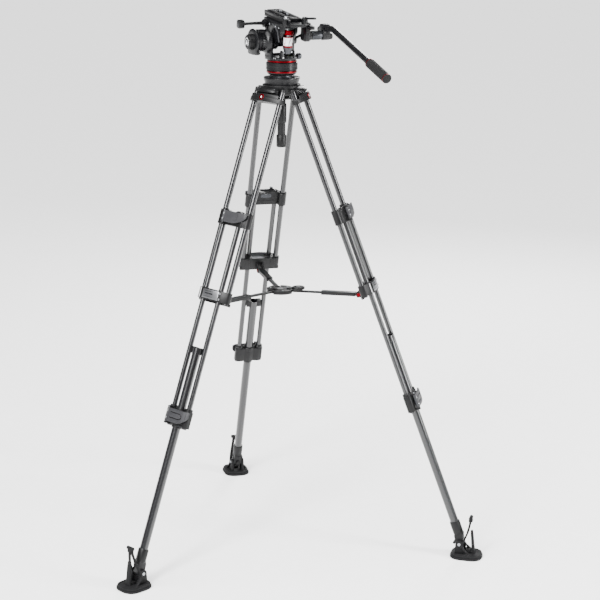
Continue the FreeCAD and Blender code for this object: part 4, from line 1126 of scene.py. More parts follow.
# ---------------------------------------------------------------------------------------------
# Spreader
# ---------------------------------------------------------------------------------------------
@dataclass
class Spreader:
    """Three telescoping arms about a hub."""

    outer_length: float = 116.0
    outer_half: float = 10.0
    outer_deep: float = 5.5
    tail: float = 130.0

    def build(self) -> None:
        """Makes the hub and the arms."""
        self.hub()
        for number, azimuth in enumerate(LAYOUT.leg_azimuths, 1):
            self.outer(number, LAYOUT.arm(azimuth))
            self.inner(number, LAYOUT.arm(azimuth), number == 3)

    def outer(self, number: int, frame: Matrix) -> None:
        """Makes an arm's channel."""
        piece = Piece(f"leg_{number}_arm_channel", frame)
        hollow = Piece("hollow", Matrix())
        hollow.prism([(11.5, -2.7), (130, -2.7), (130, 2.7), (11.5, 2.7)], -6.7, 6.7, CASTING, Axis.Y, 0)
        half, deep = self.outer_half, self.outer_deep
        outline = rounded([(11, -half), (self.outer_length, -half), (self.outer_length, half), (11, half)], 4)
        piece.prism(outline, -deep, deep, CASTING, bevel=1.3, carve=hollow)
        for side in (-1, 1):
            edge = [(20, side * 7.4 - 1.0), (self.outer_length - 3, side * 7.4 - 1.0),
                    (self.outer_length - 3, side * 7.4 + 1.0), (20, side * 7.4 + 1.0)]
            piece.prism(edge, deep - 0.4, deep - 0.02, GREY, bevel=0)
        piece.prism(rounded([(0, -4.4), (11.6, -5.2), (11.6, 5.2), (0, 4.4)], 1), -6.3, 6.3, CASTING, Axis.Y, 0.8)
        piece.rod(6.4, (0, -6.4, 0), (0, 6.4, 0), CASTING, 0.8)
        piece.rod(3, (0, -11.4, 0), (0, 11.4, 0), STEEL, 0.4, 20)
        piece.done(f"arm_outer_{number}", "casting", f"leg_{number}_arm_outer")

    def inner(self, number: int, frame: Matrix, knob: bool) -> None:
        """Makes an arm's sliding bar; one has the lock knob."""
        span = LAYOUT.arm_span()
        piece = Piece(f"leg_{number}_arm_bar", frame)
        bar = rounded([(span - self.tail, -6.5), (span - 8, -6.5), (span - 2, -5), (span - 2, 5), (span - 8, 6.5),
                       (span - self.tail, 6.5)], 1.5)
        piece.prism(bar, -2.5, 2.5, CASTING, bevel=0.6)
        groove = [(span - self.tail + 6, -2.2), (span - 34, -2.2), (span - 34, 2.2), (span - self.tail + 6, 2.2)]
        piece.prism(rounded(groove, 2), 2.4, 2.6, GREY, bevel=0)
        piece.rod(4.8, (span, -8, 0), (span, 8, 0), MOULDING, 0.8)
        if knob:
            at = span - 21.6
            piece.rod(4, (at, 0, 0), (at, 0, 8), STEEL, 0.3)
            piece.lathe([(0, 0), (17.5, 0), (19.2, 1.6), (19.2, 5.4), (17.8, 7.6), (9.4, 8.2), (8.8, 9.1), (0, 9.1)],
                        (at, 0, 6.4), (at, 0, 20), MOULDING, 56)
            piece.lathe([(0, 0), (6.6, 0), (6.6, 0.25), (0, 0.25)], (at, 0, 15.3), (at, 0, 20), SILVER, 32)
        piece.done(f"arm_inner_{number}", "casting", f"leg_{number}_arm_inner")
        if knob:
            ribs("spreader_knob_ribs", frame @ Matrix.Translation((span - 21.6, 0, 0)), 19.0, 18, (2.0, 3.0, 4.4), 10.4,
                 MOULDING, f"arm_inner_{number}", "black_plastic")

    def hub(self) -> None:
        """Makes the three-slotted hub with a thin silver disc on top."""
        frame = Matrix.Scale(MM, 4)
        height = LAYOUT.hub_pivot_height
        slots = Piece("slots", Matrix())
        for azimuth in LAYOUT.leg_azimuths:
            a = radians(azimuth)
            out, side = Vector((cos(a), sin(a))), Vector((-sin(a), cos(a)))
            corners = [out * r + side * s for r, s in ((17.5, -10.6), (46, -10.6), (46, 10.6), (17.5, 10.6))]
            slots.prism([(c.x, c.y) for c in corners], height - 20, height + 20, CASTING, bevel=0)
        piece = Piece("spreader_centre", frame)
        outline = ring_points(41, (0, 0), 72)
        piece.prism(outline, height - 5.5, height + 5.4, CASTING, bevel=1.0, carve=slots)
        piece.lathe([(0, 0), (9.5, 0), (9.5, 0.1), (0, 0.1)], (0, 0, height + 5.35), (0, 0, height + 9), SILVER, 32)
        piece.done("spreader_hub", "casting", "spreader_hub")
        spots = []
        for azimuth in LAYOUT.leg_azimuths:
            a = radians(azimuth + 60)
            spots.append((30 * cos(a), 30 * sin(a), height + 4.6))
        screws("spreader_screws", frame, spots, (0, 0, 1), 3.2, 1.4, "spreader_hub", "steel")


# ---------------------------------------------------------------------------------------------
# Bowl
# ---------------------------------------------------------------------------------------------
@dataclass
class Bowl:
    """The bowl casting, its adaptor, the levelling half ball and the handle under it."""

    sphere: float = 50.0
    ball: float = 37.5
    ball_z: float = 1432.0

    def build(self) -> None:
        """Makes the bowl's pieces."""
        self.frame = Matrix.Scale(MM, 4)
        self.casting()
        self.adaptor()
        self.half_ball()
        self.handle()

    def casting(self) -> None:
        """Makes the bowl with a domed lobe over each leg's hinge."""
        piece = Piece("bowl", self.frame)
        inside = [(sqrt(self.sphere ** 2 - (1420 - z) ** 2), z) for z in (1408.8, 1404, 1398.2, 1391.5, 1384.2)]
        piece.hoop([(34, 1378.2), (40, 1378.2), (56.4, 1397.4), (57, 1399), (57, 1407.4), (55.6, 1408.9)] + inside,
                   (0, 0), CASTING, 96)
        for azimuth in LAYOUT.leg_azimuths:
            lobe = Piece("lobe", Matrix())
            roof = [(50.2, 1397), (57, 1396.6), (62, 1395), (70, 1390.6), (73.4, 1390.2), (74.6, 1391.6), (74, 1395),
                    (71.5, 1398.8), (67, 1402.2), (61, 1404.8), (55.6, 1405.8), (50.2, 1406)]
            dome, rows = bmesh.new(), []
            for k in range(15):
                a = radians(-34 + 68 * k / 14)
                drop = 3.5 * abs(k / 7 - 1) ** 6
                rows.append([dome.verts.new(((r - drop * (r > 62)) * cos(a), (r - drop * (r > 62)) * sin(a),
                                             z - drop * (z > 1398))) for r, z in roof])
            for one, two in zip(rows, rows[1:]):
                for i in range(len(roof)):
                    j = (i + 1) % len(roof)
                    dome.faces.new((one[i], one[j], two[j], two[i]))
            dome.faces.new(rows[0])
            dome.faces.new(list(reversed(rows[-1])))
            lobe.take(dome, CASTING, 0)
            for side in (-1, 1):
                inner, outer = sorted((side * 34.6, side * 43.2))
                cheek = [(51 + 10.9 * cos(a), 1382 + 10.9 * sin(a)) for a in
                         [pi + pi * k / 16 for k in range(17)]]
                lobe.prism(rounded(cheek + [(61.9, 1397.4), (40.1, 1397.4)], 0), inner, outer, CASTING, Axis.Y, 0.9)
            turned = bpy.data.meshes.new("lobe")
            lobe.mesh.transform(Matrix.Rotation(radians(azimuth), 4, "Z"))
            lobe.mesh.to_mesh(turned)
            lobe.mesh.free()
            piece.mesh.from_mesh(turned)
            bpy.data.meshes.remove(turned)
        piece.done("casting", "casting", "bowl_casting")
        spots = [(66 * cos(radians(a + d)), 66 * sin(radians(a + d)), 1398.6)
                 for a in LAYOUT.leg_azimuths for d in (-26, 26)]
        screws("bowl_screws", self.frame, spots, (0, 0, 1), 2.6, 1.4, "casting", "steel")

    def adaptor(self) -> None:
        """Makes the flared adaptor that sits in the bowl."""
        piece = Piece("bowl_insert", self.frame)
        outside = [(sqrt(49.9 ** 2 - (1420 - z) ** 2), z) for z in (1384.4, 1389, 1395, 1402, 1409)]
        flare = [(48.9, 1411), (50.2, 1416), (53.2, 1425.6), (53.4, 1427.6), (53.0, 1429.6), (52.2, 1430)]
        seat = [(sqrt(37.6 ** 2 - (1432 - z) ** 2), z) for z in (1429.8, 1422, 1414, 1408, 1405)]
        piece.hoop([(26.2, 1384.4)] + outside + flare + seat + [(26.2, 1404.6)], (0, 0), HEAD_CASTING, 96)
        piece.done("casting", "casting", "bowl_adaptor")

    def half_ball(self) -> None:
        """Makes the levelling half ball and its threaded stem."""
        piece = Piece("levelling_ball", self.frame)
        arc = [(self.ball * cos(a), self.ball_z + self.ball * sin(a))
               for a in [radians(-80.5 + 80.5 * k / 14) for k in range(15)]]
        thread = []
        for k in range(18):
            thread += [(5.2, 1302.6 + 3.6 * k), (6.0, 1303.9 + 3.6 * k), (6.0, 1305.2 + 3.6 * k)]
        piece.lathe([(0, 1302.2)] + thread + [(6.0, 1395)] + arc + [(30, 1432.2), (30, 1436.9), (0, 1436.9)],
                    (0, 0, 0), (0, 0, 1), GREY, 64)
        piece.done("level", "silver", "half_ball")

    def handle(self) -> None:
        """Makes the levelling handle with its cup, grip and end cap."""
        piece = Piece("levelling_grip", self.frame)
        piece.lathe([(0, 1223.2), (12.5, 1223.2), (14.2, 1224.6), (14.9, 1228), (14.9, 1257.4), (14.0, 1259),
                     (11.8, 1259.6), (11.8, 1294.4), (13.6, 1295.2), (14.4, 1297), (14.4, 1350), (13.4, 1351.6),
                     (12, 1352.2), (12, 1364.6), (22, 1366.1), (23.9, 1368), (23.9, 1372), (22.6, 1373.9),
                     (6.2, 1373.9), (6.2, 1301), (0, 1301)], (0, 0, 0), (0, 0, 1), MOULDING, 56)
        piece.done("handle", "black_plastic", "levelling_handle")
        ribs("levelling_grip_ribs", self.frame, 14.3, 16, (0.9, 1.6, 46), 1323.6, MOULDING, "handle", "black_plastic")
        ribs("levelling_cup_ribs", self.frame, 23.6, 24, (0.9, 2.2, 5.2), 1370.1, MOULDING, "handle", "black_plastic")


# ---------------------------------------------------------------------------------------------
# Head: what pans
# ---------------------------------------------------------------------------------------------
@dataclass
class PanUnit:
    """The base, drag ring, pan body, tilt housing and their knobs."""

    axis_z: float = 1535.0

    def build(self) -> None:
        """Makes the panning unit's pieces."""
        self.frame = LAYOUT.head()
        self.base()
        self.drag_ring()
        self.body()
        self.vial()
        self.lock_knob()
        self.housing()
        self.balance_knob()
        self.pan_lever()

    def base(self) -> None:
        """Makes the head's base with its lower red ring."""
        piece = Piece("head_foot", self.frame)
        piece.lathe([(0, 1437), (38.4, 1437), (40.6, 1438.2), (43.6, 1442.4), (44, 1444), (43, 1444.4), (43, 1448.4),
                     (42, 1450), (33.9, 1450), (33.9, 1474.0), (12.1, 1474.0), (12.1, 1452), (0, 1452)],
                    (0, 0, 0), (0, 0, 1), HEAD_CASTING, 72)
        piece.hoop([(42.6, 1444.1), (44.8, 1444.1), (45.2, 1444.6), (45.2, 1448), (44.8, 1448.5), (42.6, 1448.5)],
                   (0, 0), RED, 72)
        piece.done("level", "head_casting", "head_base")

    def drag_ring(self) -> None:
        """Makes the ribbed drag ring."""
        piece = Piece("pan_drag_collar", self.frame)
        piece.hoop([(34.1, 1450.8), (44.4, 1450.8), (45.6, 1452), (45.6, 1472.4), (44.4, 1473.6), (34.1, 1473.6)],
                   (0, 0), HEAD_CASTING, 96)
        piece.hoop([(45, 1460.4), (45.9, 1460.4), (45.9, 1464), (45, 1464)], (0, 0), MOULDING, 96)
        piece.done("drag_ring", "head_casting", "pan_drag_ring")
        for name, middle in (("upper", 1468.2), ("lower", 1456.2)):
            ribs(f"drag_ring_ribs_{name}", self.frame, 45.7, 72, (1.2, 2.4, 7.2), middle, HEAD_CASTING, "drag_ring",
                 "head_casting")

    def body(self) -> None:
        """Makes the panning body: deck, yoke arms for the tilt axis, and cylinder posts."""
        axis = self.axis_z
        piece = Piece("pan_housing", self.frame)
        piece.lathe([(0, 1453.2), (11.9, 1453.2), (11.9, 1474.7), (42.4, 1474.7), (42.4, 1479.6), (42, 1480),
                     (42, 1492.4), (40.4, 1495), (37.6, 1496), (0, 1496)], (0, 0, 0), (0, 0, 1), HEAD_CASTING, 80)
        piece.hoop([(41.8, 1475), (43.2, 1475), (43.6, 1475.5), (43.6, 1478.6), (43.2, 1479.1), (41.8, 1479.1)],
                   (0, 0), RED, 80)
        deck = rounded([(-47, -20), (31, -20), (31, 20), (-47, 20)], 5)
        piece.prism(deck, 1482, 1496, HEAD_CASTING, bevel=1.6)
        hole = Piece("hole", Matrix())
        hole.prism(ring_points(9.1, (0, axis), 40), -60, 60, HEAD_CASTING, Axis.X, 0)
        for x0, x1 in ((-46.9, -37.1), (21.6, 30.9)):
            cheek = [(20 * cos(a), axis + 20 * sin(a)) for a in [pi * k / 20 for k in range(21)]]
            foot = [(-19.6, 1512), (-19.8, 1488), (19.8, 1488), (19.6, 1512)]
            piece.prism(cheek + foot, x0, x1, HEAD_CASTING, Axis.X, 1.8, carve=hole)
            raised = rounded([(-12, 1498), (12, 1498), (13.5, 1522), (0, 1530), (-13.5, 1522)], 3)
            inner, outer = (x0 - 0.7, x0) if x0 < 0 else (x1 - 0.7, x1 + 0.05)
            piece.prism(raised, inner, outer, HEAD_CASTING, Axis.X, 0.0)
        pin = Piece("pin", Matrix())
        pin.prism(ring_points(3.1, (-44, 1505), 24), -60, 60, HEAD_CASTING, Axis.X, 0)
        for x0, x1 in ((-25.4, -21.1), (13.1, 17.4)):
            post = [(-44 + 6 * cos(a), 1505 + 6 * sin(a)) for a in [pi * k / 12 for k in range(13)]]
            piece.prism(post + [(-50, 1483), (-33, 1483), (-33, 1496)], x0, x1, HEAD_CASTING, Axis.X, 0.6, carve=pin)
        piece.prism(rounded([(-30, -52), (22, -52), (26, -20), (-34, -20)], 6), 1483.2, 1488.5, HEAD_CASTING, bevel=1.6)
        piece.done("pan", "head_casting", "pan_body")
        ribs("pan_scale_ticks", self.frame, 42.0, 48, (0.3, 0.5, 4.6), 1486.6, WHITE_INK, "pan", "silver")
        screws("pan_deck_screws", self.frame, [(20, 30, 1495.8), (-30, 26, 1495.8), (30, -24, 1495.8)], (0, 0, 1),
               2.8, 1.2, "pan", "steel")

    def vial(self) -> None:
        """Makes the round level with its bezel and target ring."""
        piece = Piece("bubble_level", self.frame)
        piece.hoop([(12.0, 1488), (14.8, 1488), (14.8, 1493.4), (14.2, 1494.2), (12.4, 1494.2), (12.0, 1493.6)],
                   (7, -35), MOULDING, 48)
        piece.lathe([(0, 1489), (12.1, 1489), (12.1, 1493), (8, 1493.9), (0, 1494.1)],
                    (7, -35, 0), (7, -35, 1), VIAL, 48)
        piece.hoop([(3.6, 1493.9), (4.1, 1493.9), (4.1, 1494.2), (3.6, 1494.2)], (7, -35), MOULDING, 36)
        piece.done("pan", "silver")

    def lock_knob(self) -> None:
        """Makes the pan lock's fluted knob."""
        y, z = -5.0, 1488.0
        piece = Piece("pan_lock_grip", self.frame)
        piece.rod(3, (35, y, z), (47, y, z), STEEL, 0.3, 20)
        piece.lathe([(0, 0), (6.4, 0), (8.2, 1), (8.8, 2.6), (8.8, 11.4), (8.2, 13.4), (6.8, 14.3), (0, 14.5)],
                    (44.5, y, z), (60, y, z), GREY, 40)
        piece.done("pan_lock", "silver", "pan_lock_knob")
        turn = Matrix.Translation((51.5, y, z)) @ Matrix.Rotation(pi / 2, 4, "Y")
        ribs("pan_lock_ribs", self.frame @ turn, 8.7, 14, (0.9, 1.5, 9.4), 0.4, GREY, "pan_lock", "silver")

    def housing(self) -> None:
        """Makes the tilt drag housing: a bell with a stepped skirt and a dial window."""
        axis = self.axis_z
        piece = Piece("tilt_drag_housing", self.frame)
        piece.lathe([(0, 12.2), (22.6, 12.2), (22.6, 0.6), (23.4, 0), (35.4, 0), (37.4, 0.9), (38, 2.6), (37.6, 4.4),
                     (34.4, 8), (32.4, 13), (31.2, 18), (28.4, 22), (28, 23), (28, 34), (30.6, 36), (33.6, 40),
                     (34.6, 44), (34.6, 48), (33.6, 49), (0, 49)], (-96, 0, axis), (0, 0, axis), HEAD_CASTING, 72)
        piece.rod(9, (-47.4, 0, axis), (31, 0, axis), STEEL, 0.6, 40)
        skirt = rounded([(-30, 1515), (-33.6, 1502), (-24, 1498), (24, 1498), (33.6, 1502), (30, 1515)],
                        [2, 5, 6, 6, 5, 2])
        piece.prism(skirt, -95, -84, HEAD_CASTING, Axis.X, 2.0)
        frame = Piece("window", Matrix())
        frame.prism(rounded([(-78, -9), (-60, -9), (-60, 9), (-78, 9)], 2), axis + 22, axis + 60, MOULDING, bevel=0)
        raised = rounded([(-82, -12), (-56, -12), (-56, 12), (-82, 12)], 4)
        piece.prism(raised, axis + 24, axis + 34.4, HEAD_CASTING, bevel=1.4, carve=frame)
        piece.prism(rounded([(-78, -9), (-60, -9), (-60, 9), (-78, 9)], 2), axis + 24, axis + 31, WHITE_INK, bevel=0.6)
        piece.done("pan", "head_casting", "tilt_housing")
        turn = Matrix.Translation((-42, 0, axis)) @ Matrix.Rotation(pi / 2, 4, "Y")
        ribs("housing_ribs", self.frame @ turn, 28.2, 30, (1.2, 1.8, 9), -26.5, HEAD_CASTING, "pan", "head_casting")

    def balance_knob(self) -> None:
        """Makes the ribbed counterbalance knob and its printed dial face."""
        axis = self.axis_z
        piece = Piece("balance_dial", self.frame)
        piece.lathe([(0, 0), (14.6, 0), (15.2, 0.8), (18.6, 1.0), (20.4, 2.0), (21.2, 3.8), (21.2, 17.4), (21.8, 18.4),
                     (21.8, 26), (21.2, 28.3), (0, 28.4)], (-112.9, 0, axis), (0, 0, axis), MOULDING, 64)
        mark = rounded([(-5.6, axis - 6), (5.6, axis - 6), (4.2, axis - 1.8), (2.2, axis + 0.8), (2.6, axis + 3.2),
                        (0, axis + 6.2), (-2.6, axis + 3.2), (-2.2, axis + 0.8), (-4.2, axis - 1.8)], 1.0)
        piece.prism(mark, -113.0, -112.6, WHITE_INK, Axis.X, 0.0)
        loop = [(12.0 * cos(radians(a)), axis + 12.0 * sin(radians(a))) for a in range(-60, 241, 12)]
        inner = [(10.6 * cos(radians(a)), axis + 10.6 * sin(radians(a))) for a in range(240, -61, -12)]
        piece.prism(loop + inner, -113.0, -112.6, WHITE_INK, Axis.X, 0.0)
        piece.done("balance", "black_plastic", "balance_knob")
        turn = Matrix.Translation((-103, 0, axis)) @ Matrix.Rotation(pi / 2, 4, "Y")
        ribs("balance_dial_ribs", self.frame @ turn, 21.1, 28, (1.6, 2.4, 13.6), 0.4, MOULDING, "balance",
             "black_plastic")

    def pan_lever(self) -> None:
        """Makes the teardrop pointer with its white dot at the pan scale."""
        piece = Piece("pan_pointer", self.frame)
        drop = rounded([(-26, 1484), (-14, 1484), (-15.6, 1498), (-20, 1508), (-24.4, 1498)], [5, 5, 4, 2, 4])
        piece.prism(drop, -46.8, -41, LEVER, Axis.Y, 1.4)
        piece.lathe([(0, 0), (3.4, 0), (3.9, 0.8), (3.4, 2.2), (1.8, 3.0), (0, 3.2)],
                    (-20, -45.8, 1489), (-20, -60, 1489), WHITE_INK, 24)
        piece.done("pan", "lever")


# ---------------------------------------------------------------------------------------------
# Head: what tilts
# ---------------------------------------------------------------------------------------------
@dataclass
class TiltUnit:
    """The tilting cradle, its lock, the platform, the plate and the pan bar."""

    platform_z: float = 60.0
    floor_z: float = 69.0
    rail_z: float = 77.0
    half: float = 27.0
    bar_x: float = 95.0
    bar_radius: float = 9.0

    def build(self) -> None:
        """Makes the tilting pieces."""
        self.frame = LAYOUT.tilt()
        self.cradle()
        self.lock_lever()
        self.platform()
        self.plate()
        self.plate_lever()
        self.button()
        self.clamp()
        self.bar()

    def cradle(self) -> None:
        """Makes the cradle: two side plates, a hub, a bed and a fin on one side."""
        hole = Piece("hole", Matrix())
        hole.prism(ring_points(9.2, (0, 0), 40), -60, 60, HEAD_CASTING, Axis.X, 0)
        piece = Piece("tilt_cradle", self.frame)
        outline = [(-24, -4), (-40, 14), (-57, 34), (-57, 51), (50, 51), (46, 30), (34, 14), (24, 0)]
        lower = [(24 * cos(a), 24 * sin(a)) for a in [radians(-8 - 164 * k / 18) for k in range(19)]]
        profile = rounded(outline + lower, [3, 8, 6, 2, 2, 8, 8, 3] + [0] * 19, 4)
        for x0, x1 in ((-35.8, -21.6), (13.6, 20.3)):
            window = Piece("window", Matrix())
            window.prism(ring_points(9.2, (0, 0), 40), -60, 60, HEAD_CASTING, Axis.X, 0)
            if x0 < 0:
                window.prism(rounded([(-40, 28), (-20, 22), (-14, 42), (-40, 42)], 4), -60, -33, HEAD_CASTING,
                             Axis.X, 0)
                window.prism(rounded([(8, 24), (30, 24), (34, 42), (8, 42)], 4), -60, -33, HEAD_CASTING, Axis.X, 0)
            piece.prism(profile, x0, x1, HEAD_CASTING, Axis.X, 1.5, carve=window)
        piece.lathe([(0, 0), (17.8, 0), (17.8, 36.2), (0, 36.2)],
                    (-22.2, 0, 0), (30, 0, 0), HEAD_CASTING, 48, carve=hole)
        bed = rounded([(-35.8, -57.8), (20.3, -57.8), (20.3, 57.8), (-35.8, 57.8)], 5)
        piece.prism(bed, 50.2, 59.8, HEAD_CASTING, bevel=1.4)
        fin = rounded([(-52, -20), (-40, 6), (-20, 20), (-2, 24), (-2, 27), (-22, 24), (-44, 10), (-56, -18)],
                      [1, 6, 6, 1, 1, 6, 6, 1])
        piece.prism([(y, z + 26) for y, z in fin], -37.6, -35.4, LEVER, Axis.X, 0.6)
        piece.done("tilt", "head_casting", "tilt_body")
        screws("cradle_screws", self.frame, [(-36.2, -48, 47), (-36.2, -26, 47), (-36.2, 14, 47), (20.6, 36, 44),
                                             (20.6, -40, 44)], (-1, 0, 0), 2.6, 1.0, "tilt", "steel")

    def lock_lever(self) -> None:
        """Makes the tilt lock's long lever with its T grip."""
        y, z = 35.4, 45.3
        piece = Piece("tilt_lock_arm", self.frame)
        piece.rod(6, (-38, y, z), (-22, y, z), STEEL, 0.4, 24)
        piece.lathe([(0, 0), (8.8, 0), (11.6, 1.6), (11.8, 3), (11.8, 9), (10.8, 10.8), (0, 10.9)],
                    (-48, y, z), (0, y, z), HEAD_CASTING, 40)
        spine = [(-44, y, z), (-60, y, z + 0.5), (-80, y, z + 0.6), (-100, y, z + 0.4), (-113, y, z)]
        flat = rounded([(-8.6, -5.2), (8.6, -5.2), (8.6, 5.2), (-8.6, 5.2)], 4, 4)
        piece.sweep(spine, flat, HEAD_CASTING, sizes=[1.0, 0.82, 0.72, 0.7, 0.86])
        grip = rounded([(y - 12.3, z - 8), (y - 6, z - 12.3), (y + 6, z - 12.3), (y + 12.3, z - 8), (y + 12.3, z + 8),
                        (y + 6, z + 12.3), (y - 6, z + 12.3), (y - 12.3, z + 8)], 2.5)
        piece.prism(grip, -126.8, -110.4, HEAD_CASTING, Axis.X, 2.6)
        piece.prism(rounded([(y - 7, z - 7), (y + 7, z - 7), (y + 7, z + 7), (y - 7, z + 7)], 3), -127.0, -126.2, GREY,
                    Axis.X, 0.3)
        piece.done("tilt_lock", "head_casting", "tilt_lock_lever")

    def platform(self) -> None:
        """Makes the platform: bed, dovetail rails, brackets, rosette and strut."""
        z0, floor, rail = self.platform_z, self.floor_z, self.rail_z
        piece = Piece("plate_platform", self.frame)
        tray = rounded([(-self.half, -112), (self.half, -112), (self.half, 73), (-self.half, 73)], [9, 9, 4, 4])
        hole = Piece("hole", Matrix())
        hole.prism(ring_points(5.2, (-30, -76), 30), 65, 100, HEAD_CASTING, bevel=0)
        piece.prism(tray, z0, floor, HEAD_CASTING, bevel=1.3, carve=hole)
        for side in (-1, 1):
            lip = [(side * 22.2, floor - 1), (side * 26.9, floor - 1), (side * 26.9, rail - 1.2), (side * 26.0, rail),
                   (side * 21.9, rail), (side * 21.9, rail - 2.4), (side * 22.8, rail - 3.6)]
            piece.prism(lip, -92, 73, HEAD_CASTING, Axis.Y, 0.35)
            pocket = rounded([(-88, 61.6), (66, 61.6), (66, 67.4), (-88, 67.4)], 2)
            low, high = sorted((side * 26.6, side * 27.4))
            piece.prism(pocket, low, high, MOULDING, Axis.X, 0.2)
        piece.prism(ring_points(7.9, (-30, -76), 32), z0, 79.8, HEAD_CASTING, bevel=0.9, carve=hole)
        piece.prism(ring_points(8.9, (18, -103), 36), floor - 1, 78.9, HEAD_CASTING, bevel=0.8)
        hanger = rounded([(-99.8, 14.2), (-64.2, 14.2), (-64.2, 44), (-58, 62), (-58, 69), (-99.8, 69)],
                         [8, 8, 4, 4, 1, 1])
        piece.prism(hanger, 26, 39.8, HEAD_CASTING, Axis.X, 1.5)
        lug = rounded([(-125.8, 54), (-99, 52.2), (-99, 65.8), (-125.8, 64)], 4)
        piece.prism(lug, 26, 39.8, HEAD_CASTING, Axis.X, 1.5)
        piece.lathe([(0, 0), (13.6, 0), (14.9, 1.2), (14.9, 8.6), (12.4, 9.2), (12.4, 11.4), (10.4, 12), (0, 12)],
                    (38, -82, 29.5), (60, -82, 29.5), HEAD_CASTING, 48)
        piece.rod(4.4, (38, 26, -8), (38, -74, 36), HEAD_CASTING, 0.8, 24)
        piece.lathe([(0, 0), (10.8, 0), (11.9, 1), (11.9, 8.6), (10.8, 9.9), (0, 10)], (33.1, 0, 0), (60, 0, 0),
                    HEAD_CASTING, 44)
        piece.done("tilt", "head_casting", "platform")
        ribs("rosette_teeth", self.frame @ Matrix.Translation((49.6, -82, 29.5)) @ Matrix.Rotation(pi / 2, 4, "Y"),
             9.2, 32, (4.2, 0.8, 0.8), 0.3, GREY, "tilt", "silver")
        screws("platform_screws", self.frame, [(40.2, -92, 58), (40.2, -70, 58), (40.2, -118, 59)], (1, 0, 0), 2.8, 1.0,
               "tilt", "steel")

    def plate(self) -> None:
        """Makes the sliding plate with its slot, rubber strips and camera screws."""
        low, high = 69.3, 80.0
        slots = Piece("slots", Matrix())
        slots.prism(rounded([(-5.2, -44), (5.2, -44), (5.2, 44), (-5.2, 44)], 4.8), low - 2, high + 2, SILVER, bevel=0)
        slots.prism(rounded([(-9, -50), (9, -50), (9, 50), (-9, 50)], 5), low - 2, low + 5.2, SILVER, bevel=0)
        piece = Piece("quick_release_plate", self.frame)
        body = rounded([(-21.4, -72), (21.4, -72), (21.4, 68), (-21.4, 68)], 3)
        piece.prism(body, low, high - 0.9, HEAD_CASTING, bevel=1.0, carve=slots)
        for x0, x1 in ((-19.5, -8), (8, 19.5)):
            for k in range(4):
                y0 = -66 + 33 * k
                piece.prism(rounded([(x0, y0), (x1, y0), (x1, y0 + 30), (x0, y0 + 30)], 2), high - 1.2, high, RUBBER,
                            bevel=0.25)
        piece.done("plate", "head_casting", "sliding_plate")
        bolts = Piece("camera_bolts", self.frame)
        for y, radius in ((22.0, 4.76), (-24.0, 3.17)):
            bolts.lathe([(0, 0), (7.6, 0), (8.3, 0.7), (8.3, 3.9), (7.6, 4.6), (radius, 4.6), (radius, 15.2),
                         (radius - 0.8, 16.1), (0, 16.2)], (0, y, 69.8), (0, y, 90), STEEL, 40)
            thread = []
            for k in range(4):
                z = 81 + 1.2 * k
                thread += [(radius - 0.35, z), (radius - 0.05, z + 0.5)]
            bolts.hoop(thread + [(radius - 0.8, 85.2), (radius - 0.8, 81)], (0, y), STEEL, 32)
        bolts.done("plate", "steel", "camera_screws")

    def plate_lever(self) -> None:
        """Makes the plate's clamp lever."""
        piece = Piece("plate_clamp_lever", self.frame)
        piece.lathe([(0, 0), (8.2, 0), (8.9, 0.8), (8.9, 6.4), (7.6, 7.8), (0, 8)], (18, -103, 79.5), (18, -103, 90),
                    HEAD_CASTING, 36)
        piece.rod(3, (18, -103, 71.4), (18, -103, 80.4), STEEL, 0.3, 20)
        piece.lathe([(0, 0), (3.4, 0), (3.4, 0.5), (0, 0.5)], (18, -103, 87.3), (18, -103, 90), STEEL, 24)
        line = [(18.0, -104, 84.6), (18.3, -112, 85.6), (18.9, -130, 88.8), (19.6, -150, 92.6), (20, -161, 94.4)]
        flat = rounded([(-4.9, -3.4), (4.9, -3.4), (4.9, 3.4), (-4.9, 3.4)], 2.4, 4)
        piece.sweep(line, flat, HEAD_CASTING, sizes=[0.9, 0.86, 0.92, 1.0, 0.82])
        piece.done("plate_lever", "head_casting", "plate_lever")

    def button(self) -> None:
        """Makes the plate's silver safety button."""
        piece = Piece("safety_button", self.frame)
        piece.lathe([(0, 0), (4.9, 0), (4.9, 15.6), (4.4, 16.6), (3, 16.9), (0, 17)], (-30, -76, 69.1), (-30, -76, 90),
                    SILVER, 32)
        piece.done("lock_button", "silver", "lock_button")

    def clamp(self) -> None:
        """Makes the pan bar's clamp: a knurled barrel, a split head and a ribbed knob."""
        y, z, x = -82.0, 29.5, self.bar_x
        piece = Piece("bar_clamp_body", self.frame)
        piece.lathe([(0, 0), (11, 0), (12.6, 0.8), (13.0, 2), (13.0, 29.5), (12.4, 31), (11.6, 31.6), (11.6, 37),
                     (0, 37)], (50.4, y, z), (90, y, z), GREY, 56)
        bore = Piece("bore", Matrix())
        slope = 15.8 / 77.5
        start, end = Vector((x, -30, 40 - 20 * slope)), Vector((x, -140, 55.8 + 12.5 * slope))
        bore.rod(9.1, tuple(start), tuple(end), HEAD_CASTING, 0.1, 40)
        head = rounded([(y - 13, z - 14), (y + 17, z - 14), (y + 17, z + 24), (y + 10, z + 31), (y - 6, z + 31),
                        (y - 13, z + 24)], [8, 8, 5, 5, 5, 5])
        piece.prism(head, x - 10.9, x + 10.9, HEAD_CASTING, Axis.X, 2.2, carve=bore)
        piece.prism([(y - 13.2, z - 2), (y - 12.6, z - 2), (y - 12.6, z + 1.6), (y - 13.2, z + 1.6)], x - 9, x + 9,
                    MOULDING, Axis.X, 0)
        piece.done("bar", "head_casting", "bar_clamp")
        turn = Matrix.Translation((66, y, z)) @ Matrix.Rotation(pi / 2, 4, "Y")
        ribs("bar_clamp_knurl", self.frame @ turn, 12.9, 36, (1.2, 1.1, 24), 0, GREY, "bar", "silver")
        knob = Piece("bar_clamp_grip", self.frame)
        knob.rod(3, (x + 3, y, z - 5), (x + 13, y, z - 5), STEEL, 0.3, 20)
